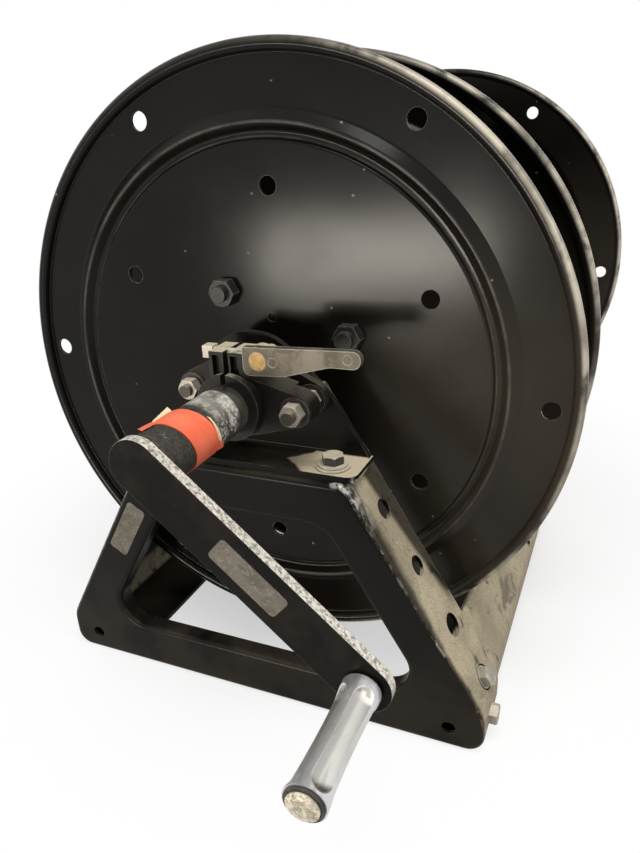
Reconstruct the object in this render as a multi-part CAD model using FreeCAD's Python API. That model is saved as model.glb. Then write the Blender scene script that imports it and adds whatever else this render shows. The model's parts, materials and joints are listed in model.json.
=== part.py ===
import FreeCAD, Part
import math
import os
from FreeCAD import Vector

# Hand-cranked hose reel with a divided drum, in millimetres.
# X runs to the right as seen from the crank, Y from the crank end to the inlet end, Z up.
# Pieces are modelled about the drum's axis and lifted by axis_height when they are written.
# Places along Y are given as an outward distance from the rim of the nearer outer flange.

# Drum
axis_height = 258.0
flange_diameter = 457.2
drum_span = 502.9
narrow_bay = 115.1
flange_sheet = 2.0
rim_radius = 4.5
middle_depth = 3.0
groove_depth = 6.0
ridge_depth = 1.0
band_depth = 6.0
band_width = 41.6
band_slope = 7.0
ridge_width = 2.5
ridge_slope = 4.5
groove_width = 3.5
groove_slope = 2.5
outer_hole_inset = 21.6
outer_hole_angle = -2.1
inner_hole_inset = 28.6
inner_hole_angle = 27.9
flange_hole_radius = 6.6
flange_hole_count = 6
witness_hole_radius = 3.5
witness_hole_circle = 46.0
witness_hole_angle = 88.0
core_radius = 89.0
core_sheet = 2.0

# Hubs and tie rods
hub_plate = 6.0
hub_boss_radius = 22.0
hub_boss_length = 20.0
tie_count = 4
tie_circle = 73.0
tie_angle = 29.0
tie_radius = 6.35
tie_nut_flats = 19.0
tie_nut_height = 9.5
tie_end_length = 5.5
set_screw_radius = 4.0

# Shafts
shaft_radius = 12.7
shaft_bore = 7.0
running_gap = 0.05
slip_gap = 0.03
hole_gap = 0.45

# Water way inside the drum and the outlet for the hose
manifold_size = 44.0
manifold_length = 45.0
manifold_setback = 6.0
riser_radius = 10.65
riser_bore = 7.9
riser_floor = 1.0
outlet_radius = 15.0
outlet_rise = 24.0
outlet_reach = 42.0
outlet_nut_flats = 34.0
outlet_nut_length = 20.0
outlet_thread_radius = 10.5
outlet_thread_length = 15.0

# End frames
frame_face = 73.0
frame_depth = 54.0
frame_sheet = 3.2
frame_drop = 48.8
leg_angle = math.radians(31.0)
leg_reach = 54.7
leg_width = 33.0
foot_side_height = 33.7
foot_knee_radius = 27.0
foot_radius = 14.0
head_radius = 12.0
sill_height = 39.1
lintel_depth = 35.0
opening_top_radius = 25.0
opening_foot_radius = 22.0
lip_depth = 16.0
bend_radius = 4.5
leg_hole_radius = 8.0
leg_hole_head_gap = 35.3
leg_hole_pitch = 50.3
leg_hole_count = 2
low_hole_radius = 9.2
low_hole_foot_gap = 104.2
leg_bolt_foot_gap = 54.76
leg_hole_out = 41.0
foot_hole_radius = 5.5
foot_hole_x = 163.0
foot_hole_height = 18.6
mount_hole_radius = 5.5
mount_hole_x = 101.6

# Side rails
rail_gap = 0.1
rail_sheet = 3.2
rail_height = 79.0
rail_inner_x = 125.0
rail_hole_radius = 5.0
rail_hole_foot_gap = 45.7
rail_hole_y = 70.0
access_hole_radius = 10.0
corner_bolt_out = 50.0
corner_bolt_height = 22.0
corner_nut_setback = 0.9
rail_spacer_radius = 8.6

# Three-eighths hexagon fasteners, used all over
bolt_radius = 4.76
bolt_flats = 14.3
bolt_head = 6.35
nut_height = 8.4
bolt_tail = 3.6
washer_sheet = 1.6
washer_radius = 11.0
wide_washer_radius = 12.7

# Bearing brackets
bracket_sheet = 4.8
bracket_half_width = 90.0
bracket_out = 68.0
upright_out = 33.5
upright_knee = 3.0
upright_half_width = 60.0
upright_top_radius = 43.5
upright_hole_radius = 20.0
bracket_corner = 8.0
bracket_bend = 3.0
bracket_bolt_x = 69.0
bracket_bolt_out = 54.0

# Bearings
housing_radius = 34.0
housing_ear_radius = 12.0
housing_plate = 7.0
housing_boss_radius = 33.0
housing_boss = 1.5
bearing_bolt_x = 48.6
race_outer_radius = 26.0
race_outer_inside = 22.8
race_inner_outside = 18.0
race_width = 8.3
race_tail = 16.0
ball_radius = 3.6
ball_circle = 20.4
ball_count = 12
collar_radius = 20.0
collar_length = 10.0
collar_screw_radius = 3.0

# Shaft brake
brake_setback = 4.0
brake_radius = 24.2
brake_length = 30.0
brake_arm_length = 22.0
brake_ear_radius = 11.5
brake_ear_gap = 0.8
brake_nut_room = 15.0
lining_radius = 16.5
lining_inset = 0.5
lug_left_x = -14.0
split_left_x = -3.0
split_right_x = 1.0
lug_right_x = 16.2
lug_top = 38.5
lug_length = 24.0
pocket_width = 6.5
pocket_left_x = -8.5
pocket_right_x = 5.7
pocket_bottom = 20.0
pocket_top = 36.0
pocket_depth = 5.0
draw_bolt_radius = 3.0
draw_bolt_out = 14.5
draw_head_size = 8.5
draw_head_length = 8.0
anchor_tail = 4.5

# Cam lever
pivot_x = 26.8
pivot_z = 36.0
pivot_radius = 6.1
pivot_proud = 0.3
pivot_tail = 6.5
lever_out = 30.0
lever_hub_length = 12.0
lever_arm_length = 5.5
lever_hub_radius = 9.6
cam_offset = 0.8
lever_head_x = 11.2
lever_head_top = 9.1
lever_head_bottom = 10.5
lever_head_radius = 1.5
lever_chin_radius = 5.0
lever_heel_x = 18.7
lever_heel_drop = 8.9
lever_waist_x = 50.8
lever_bend_radius = 20.0
lever_tip_x = 72.0
lever_tip_top = 11.9
lever_tip_radius = 5.5
lever_mark_radius = 3.2
lever_mark_depth = 0.4
lever_mark_near_x = 10.8
lever_mark_far_x = 63.2

# Crank
crank_tube_radius = 18.1
crank_tube_start = 89.6
crank_tube_end = 172.0
shaft_in_tube = 150.0
crank_angle = math.radians(-41.0)
crank_throw = 178.8
crank_overhang = 3.0
arm_sheet = 8.0
arm_radius = 17.5
arm_edge = 0.8
crank_pin_radius = 4.0
crank_pin_out = 128.0
crank_pin_inset = 0.5
tape_start = 112.0
tape_width = 34.0
tape_sheet = 0.9

# Turning grip
grip_start = 1.9
grip_length = 80.2
grip_radius = 12.2
grip_waist = 1.4
grip_bore = 6.5
flute_count = 4
flute_radius = 13.0
flute_depth = 4.2
flute_angle = 55.0
flute_foot_inset = 14.6
flute_tip_inset = 11.0
bush_length = 10.0
end_ring_length = 1.5
end_ring_inset = 0.9
grip_head_gap = 0.3
grip_head_radius = 9.25
grip_head_rim = 1.0
grip_head_dome = 2.0
grip_washer_radius = 10.0

# Name plates, left bare
plate_sheet = 0.6
plate_length = 53.0
plate_width = 17.5
plate_corner = 3.0
arm_plate_along = 88.0
leg_plate_head_gap = 72.8
leg_plate_across = 15.0

# Inlet swivel
swivel_start = 56.0
swivel_length = 32.0
swivel_radius = 24.0
swivel_bore_length = 23.0
swivel_room_radius = 17.0
rear_shaft_out = 84.0
seal_radius = 1.4
seal_first = 8.0
seal_pitch = 8.0
seal_gap = 0.1
groove_gap = 0.2
snap_ring_sheet = 1.5
snap_ring_radius = 15.5
snap_groove_depth = 1.2
cap_sheet = 10.0
cap_screw_radius = 2.0
cap_screw_circle = 20.5
cap_screw_count = 4
cap_screw_length = 8.0
cap_screw_head_radius = 3.4
cap_screw_head = 2.6
elbow_radius = 16.0
elbow_bore = 8.0
elbow_bend = 24.0
inlet_nut_flats = 40.0
inlet_nut_length = 26.0
inlet_thread_radius = 12.0
inlet_thread_length = 20.0

# Places that follow from the sizes above
FRONT = -1
REAR = 1
LEFT = -1
RIGHT = 1
ENDS = (FRONT, REAR)
SIDES = (LEFT, RIGHT)
half_span = drum_span / 2
floor_z = -axis_height
frame_top_z = -frame_drop
sill_z = floor_z + sill_height
lintel_z = frame_top_z - lintel_depth
bracket_top_z = frame_top_z + bracket_sheet
leg_normal_distance = leg_reach * math.cos(leg_angle)
flange_radius = flange_diameter / 2
rim_circle = flange_radius - rim_radius
band_radius = flange_radius - band_width
ridge_outer_radius = band_radius - band_slope
ridge_inner_radius = ridge_outer_radius - ridge_width
groove_outer_radius = ridge_inner_radius - ridge_slope
groove_inner_radius = groove_outer_radius - groove_width
middle_radius = groove_inner_radius - groove_slope
flange_face = rim_radius - middle_depth
flange_back = flange_face - flange_sheet
core_bore = core_radius - core_sheet
housing_face = upright_out + housing_plate
brake_back = housing_face + housing_boss + brake_setback
brake_arm_face = brake_back + brake_arm_length
bearing_nut_end = housing_face + washer_sheet + nut_height
brake_ear_back = bearing_nut_end + brake_ear_gap
anchor_end = brake_arm_face + washer_sheet + nut_height + anchor_tail
draw_bolt_place = brake_back + draw_bolt_out
race_front = housing_face + housing_boss
race_back = upright_out - race_tail
leg_head_along = (leg_normal_distance * math.sin(leg_angle) - frame_top_z) / math.cos(leg_angle)
leg_foot_along = (leg_normal_distance * math.sin(leg_angle) - floor_z) / math.cos(leg_angle)
leg_hole_start = leg_head_along + leg_hole_head_gap
low_hole_along = leg_foot_along - low_hole_foot_gap
access_bolt_along = leg_foot_along - leg_bolt_foot_gap
foot_side_z = floor_z + foot_side_height
foot_side_x = leg_reach - foot_side_z * math.tan(leg_angle)
corner_bolt_z = floor_z + corner_bolt_height
grip_x = crank_throw * math.cos(crank_angle)
grip_z = crank_throw * math.sin(crank_angle)
arm_face = crank_tube_end + arm_sheet
grip_foot = arm_face + grip_start
grip_tip = grip_foot + grip_length + end_ring_length
manifold_far = flange_back - hub_plate - hub_boss_length - manifold_setback
manifold_middle = manifold_far - manifold_length / 2
swivel_end = swivel_start + swivel_length
cap_face = swivel_end + cap_sheet

os.makedirs("parts", exist_ok=True)


def place(end, out):
    """The Y of a point that lies so far outside the rim of the flange at one end."""
    return end * (half_span + out)


def write(name, *solids):
    """Lift the solids to the height of the drum's axis and write them as one named piece."""
    shape = solids[0] if len(solids) == 1 else Part.makeCompound(list(solids))
    shape = shape.copy()
    shape.translate(Vector(0, 0, axis_height))
    shape.exportStep("parts/" + name + ".step")


def outline(corners):
    """A closed wire in the XZ plane through (x, z, radius) corners, each rounded by its radius."""
    spans = []
    for index, (x, z, radius) in enumerate(corners):
        before = corners[index - 1]
        after = corners[(index + 1) % len(corners)]
        point = Vector(x, 0, z)
        back = (Vector(before[0], 0, before[1]) - point).normalize()
        ahead = (Vector(after[0], 0, after[1]) - point).normalize()
        if radius == 0:
            spans.append((point, point, point))
            continue
        half = back.getAngle(ahead) / 2
        inwards = (back + ahead).normalize()
        centre = point + inwards * (radius / math.sin(half))
        reach = radius / math.tan(half)
        spans.append((point + back * reach, centre - inwards * radius, point + ahead * reach))
    edges = []
    for index, (start, middle, finish) in enumerate(spans):
        if (finish - start).Length > 0:
            edges.append(Part.Arc(start, middle, finish).toShape())
        following = spans[(index + 1) % len(spans)][0]
        if (following - finish).Length > 1e-6:
            edges.append(Part.LineSegment(finish, following).toShape())
    return Part.Wire(edges)


def inset(corners, distance):
    """The same outline with every side moved inwards; corners run anticlockwise seen from the crank."""
    moved = []
    for index, (x, z, radius) in enumerate(corners):
        before = corners[index - 1]
        after = corners[(index + 1) % len(corners)]
        first = Vector(x - before[0], 0, z - before[1]).normalize()
        second = Vector(after[0] - x, 0, after[1] - z).normalize()
        first_normal = Vector(-first.z, 0, first.x)
        second_normal = Vector(-second.z, 0, second.x)
        share = distance / (1 + first_normal.dot(second_normal))
        shift = (first_normal + second_normal) * share
        moved.append((x + shift.x, z + shift.z, max(radius - distance, 0)))
    return moved


def prism(corners, y_first, y_last):
    """A straight solid along Y with a rounded outline."""
    face = Part.Face(outline(corners))
    face.translate(Vector(0, y_first, 0))
    return face.extrude(Vector(0, y_last - y_first, 0))


def box(x_first, x_last, y_first, y_last, z_first, z_last):
    """A rectangular block between two corners given in any order."""
    low = Vector(min(x_first, x_last), min(y_first, y_last), min(z_first, z_last))
    return Part.makeBox(abs(x_last - x_first), abs(y_last - y_first), abs(z_last - z_first), low)


def rod(radius, start, finish):
    """A round bar between two points."""
    along = finish - start
    return Part.makeCylinder(radius, along.Length, start, along)


def axle(radius, y_first, y_last, x=0.0, z=0.0):
    """A round bar along Y."""
    return rod(radius, Vector(x, y_first, z), Vector(x, y_last, z))


def sleeve(radius, bore, y_first, y_last, x=0.0, z=0.0):
    """A tube along Y."""
    return axle(radius, y_first, y_last, x, z).cut(axle(bore, y_first, y_last, x, z))


def hexagon(flats, start, finish):
    """A hexagonal bar between two points, with its corners turned down at the far end."""
    along = finish - start
    corner = flats / math.sqrt(3)
    points = [
        Vector(corner * math.cos(math.pi / 3 * k), corner * math.sin(math.pi / 3 * k), 0)
        for k in range(7)
    ]
    bar = Part.Face(Part.makePolygon(points)).extrude(Vector(0, 0, along.Length))
    rise = (corner - flats / 2) * math.tan(math.pi / 6)
    cone_tall = corner * math.tan(math.pi / 6)
    turned = Part.makeCone(corner, 0.0, cone_tall, Vector(0, 0, along.Length - rise))
    blank = Part.makeCylinder(corner, along.Length - rise).fuse(turned)
    bar = bar.common(blank)
    turn = FreeCAD.Rotation(Vector(0, 0, 1), along)
    bar.Placement = FreeCAD.Placement(start, turn)
    return bar


def washer(radius, bore, start, finish):
    """A flat ring between two points."""
    return rod(radius, start, finish).cut(rod(bore, start, finish))


def nut(flats, bore, start, finish):
    """A hexagon nut between two points, its turned corners at the second."""
    return hexagon(flats, start, finish).cut(rod(bore, start, finish))


def bolt(flats, radius, head, seat, head_way, length):
    """A hexagon bolt whose head stands on a seat and whose shank runs the other way."""
    cap = hexagon(flats, seat, seat + head_way * head)
    return cap.fuse(rod(radius, seat, seat - head_way * length))


def tapered_link(near, near_radius, far, far_radius, y_first, y_last):
    """Two round ends joined by their tangents; near and far are (x, z) places."""
    across = Vector(far[0] - near[0], 0, far[1] - near[1])
    turn = math.acos((near_radius - far_radius) / across.Length)
    lead = math.atan2(across.z, across.x)
    ends = []
    for (x, z), radius in ((near, near_radius), (far, far_radius)):
        for way in (turn, -turn):
            ends.append((x + radius * math.cos(lead + way), z + radius * math.sin(lead + way), 0))
    web = prism([ends[0], ends[1], ends[3], ends[2]], y_first, y_last)
    near_end = axle(near_radius, y_first, y_last, *near)
    far_end = axle(far_radius, y_first, y_last, *far)
    return web.fuse([near_end, far_end]).removeSplitter()


def turned(profile, middle_y=0.0):
    """A solid turned about Y from (radius, y) points."""
    points = [Vector(radius, middle_y + y, 0) for radius, y in profile]
    face = Part.Face(Part.makePolygon(points + points[:1]))
    return face.revolve(Vector(0, 0, 0), Vector(0, 1, 0), 360)


def around(circle, count, first_degrees):
    """(x, z) places evenly spaced on a circle about the drum's axis."""
    angles = [math.radians(first_degrees + 360.0 / count * k) for k in range(count)]
    return [(circle * math.cos(angle), circle * math.sin(angle)) for angle in angles]


def leg_point(side, along, depth=0.0):
    """The (x, z) of a point on a leg's outer face, so far down it and so deep under it."""
    distance = leg_normal_distance - depth
    x = distance * math.cos(leg_angle) + along * math.sin(leg_angle)
    z = distance * math.sin(leg_angle) - along * math.cos(leg_angle)
    return side * x, z


def leg_out(side):
    """The direction square to a leg's outer face."""
    return Vector(side * math.cos(leg_angle), 0, math.sin(leg_angle))


def leg_x(z, reach):
    """Half the width between the legs at a height."""
    return reach - z * math.tan(leg_angle)


# Drum

TIES = around(tie_circle, tie_count, tie_angle)


def flange(rim_y, outward):
    """A pressed flange with a flat middle, a stamped ring, an outer band and a rolled rim."""
    front = [
        (shaft_radius + hole_gap, middle_depth),
        (middle_radius, middle_depth),
        (groove_inner_radius, groove_depth),
        (groove_outer_radius, groove_depth),
        (ridge_inner_radius, ridge_depth),
        (ridge_outer_radius, ridge_depth),
        (band_radius, band_depth),
        (rim_circle, band_depth),
    ]
    back = [(radius, depth + flange_sheet) for radius, depth in reversed(front)]
    profile = [(radius, outward * (rim_radius - depth)) for radius, depth in front + back]
    sheet = turned(profile, rim_y)
    rim = Part.makeTorus(rim_circle, rim_radius, Vector(0, rim_y, 0), Vector(0, 1, 0))
    outer = around(flange_radius - outer_hole_inset, flange_hole_count, outer_hole_angle)
    inner = around(middle_radius - inner_hole_inset, flange_hole_count, inner_hole_angle)
    witness = around(witness_hole_circle, 1, witness_hole_angle)
    drills = [(spot, flange_hole_radius) for spot in outer + inner]
    drills += [(spot, tie_radius + hole_gap) for spot in TIES]
    drills += [(spot, witness_hole_radius) for spot in witness]
    reach = band_depth + flange_sheet + rim_radius
    cuts = [axle(radius, rim_y - reach, rim_y + reach, x, z) for (x, z), radius in drills]
    return sheet.fuse(rim).cut(cuts).removeSplitter()


near_rim_y = place(FRONT, 0)
divider_rim_y = near_rim_y + narrow_bay
far_rim_y = place(REAR, 0)
write("near_flange", flange(near_rim_y, FRONT))
write("divider_flange", flange(divider_rim_y, FRONT))
write("far_flange", flange(far_rim_y, REAR))

near_inside_y = near_rim_y - flange_back
divider_front_y = divider_rim_y - flange_face
divider_inside_y = divider_rim_y - flange_back
far_inside_y = far_rim_y + flange_back
manifold_y = place(REAR, manifold_middle)
riser_hole = rod(riser_radius + hole_gap, Vector(0, manifold_y, 0), Vector(0, manifold_y, core_radius * 2))
write("short_core", sleeve(core_radius, core_bore, near_inside_y, divider_front_y))
write("long_core", sleeve(core_radius, core_bore, divider_inside_y, far_inside_y).cut(riser_hole))


def hub(face_y, inward):
    """A round plate inside the drum's core, with a boss for the shaft and a hole for its set screw."""
    plate_y = face_y + inward * hub_plate
    boss_y = plate_y + inward * hub_boss_length
    plate = axle(core_bore - slip_gap, face_y, plate_y)
    body = plate.fuse(axle(hub_boss_radius, face_y, boss_y))
    cuts = [axle(shaft_radius + slip_gap, face_y, boss_y)]
    cuts += [axle(tie_radius + hole_gap, face_y, plate_y, x, z) for x, z in TIES]
    cuts.append(set_screw(plate_y + inward * hub_boss_length / 2, set_screw_radius, hub_boss_radius))
    return body.cut(cuts).removeSplitter()


def set_screw(y, radius, reach):
    """A headless screw that stands on the shaft and reaches out to a radius."""
    return rod(radius, Vector(shaft_radius, y, 0), Vector(reach, y, 0))


write("near_hub", hub(near_inside_y, REAR))
write("divider_hub", hub(divider_inside_y, REAR))
write("far_hub", hub(far_inside_y, FRONT))

tie_end = flange_face + tie_nut_height + tie_end_length
tie_rods = [axle(tie_radius, place(FRONT, tie_end), place(REAR, tie_end), x, z) for x, z in TIES]
write("tie_rods", *tie_rods)
tie_nuts = []
for end in ENDS:
    for x, z in TIES:
        seat = Vector(x, place(end, flange_face), z)
        top = Vector(x, place(end, flange_face + tie_nut_height), z)
        tie_nuts.append(nut(tie_nut_flats, tie_radius, seat, top))
write("tie_nuts", *tie_nuts)

# Shafts, the set screws that hold them, and the water way

divider_boss_y = divider_inside_y + hub_plate + hub_boss_length
pin_y = place(FRONT, crank_pin_out)
crank_pin_half = crank_tube_radius - crank_pin_inset
crank_pin = rod(crank_pin_radius, Vector(-crank_pin_half, pin_y, 0), Vector(crank_pin_half, pin_y, 0))
write("front_shaft", axle(shaft_radius, place(FRONT, shaft_in_tube), divider_boss_y).cut(crank_pin))

snap_first = swivel_end - (swivel_length - swivel_bore_length) / 2
snap_last = snap_first + snap_ring_sheet
snap_bore = shaft_radius - snap_groove_depth
snap_groove = sleeve(shaft_radius * 2, snap_bore, place(REAR, snap_first), place(REAR, snap_last))
riser_way = rod(riser_bore, Vector(0, manifold_y, 0), Vector(0, manifold_y, manifold_size))
shaft_seat_y = manifold_y + riser_bore
rear_shaft = sleeve(shaft_radius, shaft_bore, shaft_seat_y, place(REAR, rear_shaft_out)).cut(snap_groove)
write("rear_shaft", rear_shaft)
write("snap_ring", sleeve(snap_ring_radius, snap_bore, place(REAR, snap_first), place(REAR, snap_last)))

screw_places = [
    (near_inside_y + hub_plate + hub_boss_length / 2, set_screw_radius, hub_boss_radius),
    (divider_boss_y - hub_boss_length / 2, set_screw_radius, hub_boss_radius),
    (far_inside_y - hub_plate - hub_boss_length / 2, set_screw_radius, hub_boss_radius),
]
for end in ENDS:
    collar_middle = place(end, race_back - collar_length / 2)
    screw_places.append((collar_middle, collar_screw_radius, collar_radius))
write("set_screws", *[set_screw(y, radius, reach - slip_gap) for y, radius, reach in screw_places])

half_block = manifold_size / 2
block_near_y = place(REAR, manifold_far - manifold_length)
block_far_y = place(REAR, manifold_far)
block = box(-half_block, half_block, block_near_y, block_far_y, -half_block, half_block)
water_way = axle(shaft_bore, manifold_y, block_far_y)
shaft_socket = axle(shaft_radius, shaft_seat_y, block_far_y)
socket_z = shaft_radius + riser_floor
riser_seat = rod(riser_radius, Vector(0, manifold_y, socket_z), Vector(0, manifold_y, half_block))
write("shaft_manifold", block.cut([water_way, shaft_socket, riser_way, riser_seat]))

outlet_z = core_radius + outlet_rise
riser_top_z = core_radius + outlet_rise / 2
riser = rod(riser_radius, Vector(0, manifold_y, socket_z), Vector(0, manifold_y, riser_top_z))
riser_inside = rod(riser_bore, Vector(0, manifold_y, socket_z), Vector(0, manifold_y, riser_top_z))
write("riser_pipe", riser.cut(riser_inside))

outlet_foot = Vector(0, manifold_y, core_radius + hole_gap)
outlet_knee = Vector(0, manifold_y, outlet_z)
outlet_mouth = Vector(outlet_reach, manifold_y, outlet_z)
outlet_nut_start = Vector(outlet_reach - outlet_nut_length, manifold_y, outlet_z)
outlet_thread_start = Vector(outlet_reach - outlet_thread_length, manifold_y, outlet_z)
outlet_body = rod(outlet_radius, outlet_foot, outlet_knee)
outlet_body = outlet_body.fuse(
    [
        Part.makeSphere(outlet_radius, outlet_knee),
        rod(outlet_radius, outlet_knee, outlet_nut_start),
        hexagon(outlet_nut_flats, outlet_nut_start, outlet_mouth),
    ]
)
outlet_body = outlet_body.cut(
    [
        rod(riser_radius, outlet_foot, Vector(0, manifold_y, riser_top_z)),
        rod(riser_bore, outlet_foot, outlet_knee),
        Part.makeSphere(riser_bore, outlet_knee),
        rod(riser_bore, outlet_knee, outlet_mouth),
        rod(outlet_thread_radius, outlet_thread_start, outlet_mouth),
    ]
)
write("outlet_fitting", outlet_body)

# End frames

FRAME_OUTLINE = [
    (-foot_side_x, floor_z, foot_radius),
    (foot_side_x, floor_z, foot_radius),
    (foot_side_x, foot_side_z, foot_knee_radius),
    (leg_x(frame_top_z, leg_reach), frame_top_z, head_radius),
    (-leg_x(frame_top_z, leg_reach), frame_top_z, head_radius),
    (-foot_side_x, foot_side_z, foot_knee_radius),
]
opening_reach = leg_reach - leg_width / math.cos(leg_angle)
FRAME_OPENING = [
    (-leg_x(sill_z, opening_reach), sill_z, opening_foot_radius),
    (leg_x(sill_z, opening_reach), sill_z, opening_foot_radius),
    (leg_x(lintel_z, opening_reach), lintel_z, opening_top_radius),
    (-leg_x(lintel_z, opening_reach), lintel_z, opening_top_radius),
]


def corner_hole(side, end):
    """The hole across a frame's foot for the bolt that clamps the rail."""
    outside = Vector(side * foot_side_x, place(end, corner_bolt_out), corner_bolt_z)
    return rod(bolt_radius + hole_gap, outside, outside - Vector(side * leg_width / 2, 0, 0))


def leg_hole(side, end, along, out, radius, reach):
    """A hole square through a leg's outer face."""
    x, z = leg_point(side, along)
    middle = Vector(x, place(end, out), z)
    return rod(radius, middle - leg_out(side) * reach, middle + leg_out(side) * reach)


def frame(end):
    """A pressed end frame: web, turned-back flange, opening with a lip, and its holes."""
    face_y = place(end, frame_face)
    web_y = place(end, frame_face - frame_sheet)
    lip_y = place(end, frame_face - lip_depth)
    edge_y = place(end, frame_face - frame_depth)
    body = prism(FRAME_OUTLINE, face_y, edge_y)
    body = body.cut(prism(inset(FRAME_OUTLINE, frame_sheet), web_y, edge_y))
    body = body.fuse(prism(inset(FRAME_OPENING, -frame_sheet), face_y, lip_y))
    body = body.cut(prism(FRAME_OPENING, face_y, lip_y)).removeSplitter()
    front_edges = [edge for edge in body.Edges if all(abs(v.Y - face_y) < 1e-4 for v in edge.Vertexes)]
    body = body.makeFillet(bend_radius, front_edges)
    cuts = []
    for side in SIDES:
        for k in range(leg_hole_count):
            along = leg_hole_start + leg_hole_pitch * k
            cuts.append(leg_hole(side, end, along, leg_hole_out, leg_hole_radius, leg_width / 2))
        cuts.append(leg_hole(side, end, low_hole_along, leg_hole_out, low_hole_radius, leg_width / 2))
        cuts.append(leg_hole(side, end, access_bolt_along, leg_hole_out, access_hole_radius, leg_width / 2))
        cuts.append(corner_hole(side, end))
        foot_z = floor_z + foot_hole_height
        cuts.append(axle(foot_hole_radius, face_y, lip_y, side * foot_hole_x, foot_z))
        middle_y = place(end, frame_face - frame_depth / 2)
        foot = Vector(side * mount_hole_x, middle_y, floor_z)
        cuts.append(rod(mount_hole_radius, foot, foot + Vector(0, 0, sill_height / 2)))
        seat = Vector(side * bracket_bolt_x, place(end, bracket_bolt_out), frame_top_z)
        cuts.append(rod(bolt_radius + hole_gap, seat, seat - Vector(0, 0, lintel_depth / 2)))
    return body.cut(cuts)


write("front_frame", frame(FRONT))
write("rear_frame", frame(REAR))

# Side rails and the bolts at the four corners

RAIL_OUTLINE = inset(FRAME_OUTLINE, frame_sheet + rail_gap)
rail_depth = frame_sheet + rail_gap
rail_inside = rail_depth + rail_sheet


def side_rail(side):
    """A folded sheet that lies inside both frames' flanges, from the leg round to the floor side."""
    first_y = place(FRONT, frame_face - frame_sheet - rail_gap)
    last_y = place(REAR, frame_face - frame_sheet - rail_gap)
    shell = prism(RAIL_OUTLINE, first_y, last_y)
    shell = shell.cut(prism(inset(RAIL_OUTLINE, rail_sheet), first_y, last_y))
    outer_x = side * foot_side_x
    kept = box(side * rail_inner_x, outer_x, first_y, last_y, floor_z, floor_z + rail_height)
    rail = shell.common(kept).removeSplitter()
    hole_reach = leg_width / 2
    hole_radius = bolt_radius + hole_gap
    cuts = []
    for end in ENDS:
        cuts.append(leg_hole(side, end, access_bolt_along, leg_hole_out, hole_radius, hole_reach))
        cuts.append(corner_hole(side, end))
        x, z = leg_point(side, leg_foot_along - rail_hole_foot_gap)
        middle = Vector(x, end * rail_hole_y, z)
        across = leg_out(side) * hole_reach
        cuts.append(rod(rail_hole_radius, middle - across, middle + across))
    return rail.cut(cuts)


write("left_side_rail", side_rail(LEFT))
write("right_side_rail", side_rail(RIGHT))

corner_nut_x = foot_side_x - rail_inside - corner_nut_setback
rail_bolts = []
rail_spacers = []
rail_nuts = []
for end in ENDS:
    for side in SIDES:
        outward = leg_out(side)
        x, z = leg_point(side, access_bolt_along)
        seat = Vector(x, place(end, leg_hole_out), z)
        spacer_foot = seat - outward * rail_depth
        nut_seat = seat - outward * rail_inside
        shank = rail_inside + nut_height + bolt_tail
        rail_bolts.append(bolt(bolt_flats, bolt_radius, bolt_head, seat, outward, shank))
        rail_spacers.append(washer(rail_spacer_radius, bolt_radius + slip_gap, spacer_foot, seat))
        rail_nuts.append(nut(bolt_flats, bolt_radius, nut_seat, nut_seat - outward * nut_height))
        sideways = Vector(side, 0, 0)
        seat = Vector(side * foot_side_x, place(end, corner_bolt_out), corner_bolt_z)
        nut_seat = Vector(side * corner_nut_x, seat.y, seat.z)
        reach = (seat - nut_seat).Length + nut_height + bolt_tail
        rail_bolts.append(bolt(bolt_flats, bolt_radius, bolt_head, seat, sideways, reach))
        rail_nuts.append(nut(bolt_flats, bolt_radius, nut_seat, nut_seat - sideways * nut_height))
write("rail_bolts", *rail_bolts)
write("rail_spacers", *rail_spacers)
write("rail_nuts", *rail_nuts)

# Bearing brackets

shoulder_z = upright_top_radius * math.sqrt(2) - upright_half_width
UPRIGHT_OUTLINE = [
    (-bracket_half_width, frame_top_z, 0),
    (bracket_half_width, frame_top_z, 0),
    (bracket_half_width, frame_top_z + upright_knee, 0),
    (upright_half_width, shoulder_z, bracket_corner),
    (0, upright_top_radius * math.sqrt(2), upright_top_radius),
    (-upright_half_width, shoulder_z, bracket_corner),
    (-bracket_half_width, frame_top_z + upright_knee, 0),
]


def bracket(end):
    """A bent plate: its foot lies on the frame and its upright carries the bearing."""
    upright_face_y = place(end, upright_out)
    upright_back_y = place(end, upright_out - bracket_sheet)
    edge_y = place(end, bracket_out)
    width = bracket_half_width
    foot = box(-width, width, upright_back_y, edge_y, frame_top_z, bracket_top_z)
    tips = [e for e in foot.Edges if all(abs(v.Y - edge_y) < 1e-4 for v in e.Vertexes)]
    tips = [e for e in tips if abs(e.Vertexes[0].X - e.Vertexes[-1].X) < 1e-4]
    foot = foot.makeFillet(bracket_corner, tips)
    plate = prism(UPRIGHT_OUTLINE, upright_back_y, upright_face_y)
    body = foot.fuse(plate).removeSplitter()
    body = body.makeFillet(bracket_bend, edges_along_x(body, upright_face_y, bracket_top_z))
    body = body.makeFillet(bracket_bend, edges_along_x(body, upright_back_y, frame_top_z))
    cuts = [axle(upright_hole_radius, upright_back_y, upright_face_y)]
    for side in SIDES:
        x = side * bearing_bolt_x
        cuts.append(axle(bolt_radius + hole_gap, upright_back_y, upright_face_y, x))
        seat = Vector(side * bracket_bolt_x, place(end, bracket_bolt_out), frame_top_z)
        cuts.append(rod(bolt_radius + hole_gap, seat, seat + Vector(0, 0, bracket_sheet)))
    return body.cut(cuts)


def edges_along_x(shape, y, z):
    """The straight edges of a shape that run along X at one place."""
    found = []
    for edge in shape.Edges:
        if all(abs(v.Y - y) < 1e-4 and abs(v.Z - z) < 1e-4 for v in edge.Vertexes):
            found.append(edge)
    return found


write("front_bracket", bracket(FRONT))
write("rear_bracket", bracket(REAR))

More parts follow.
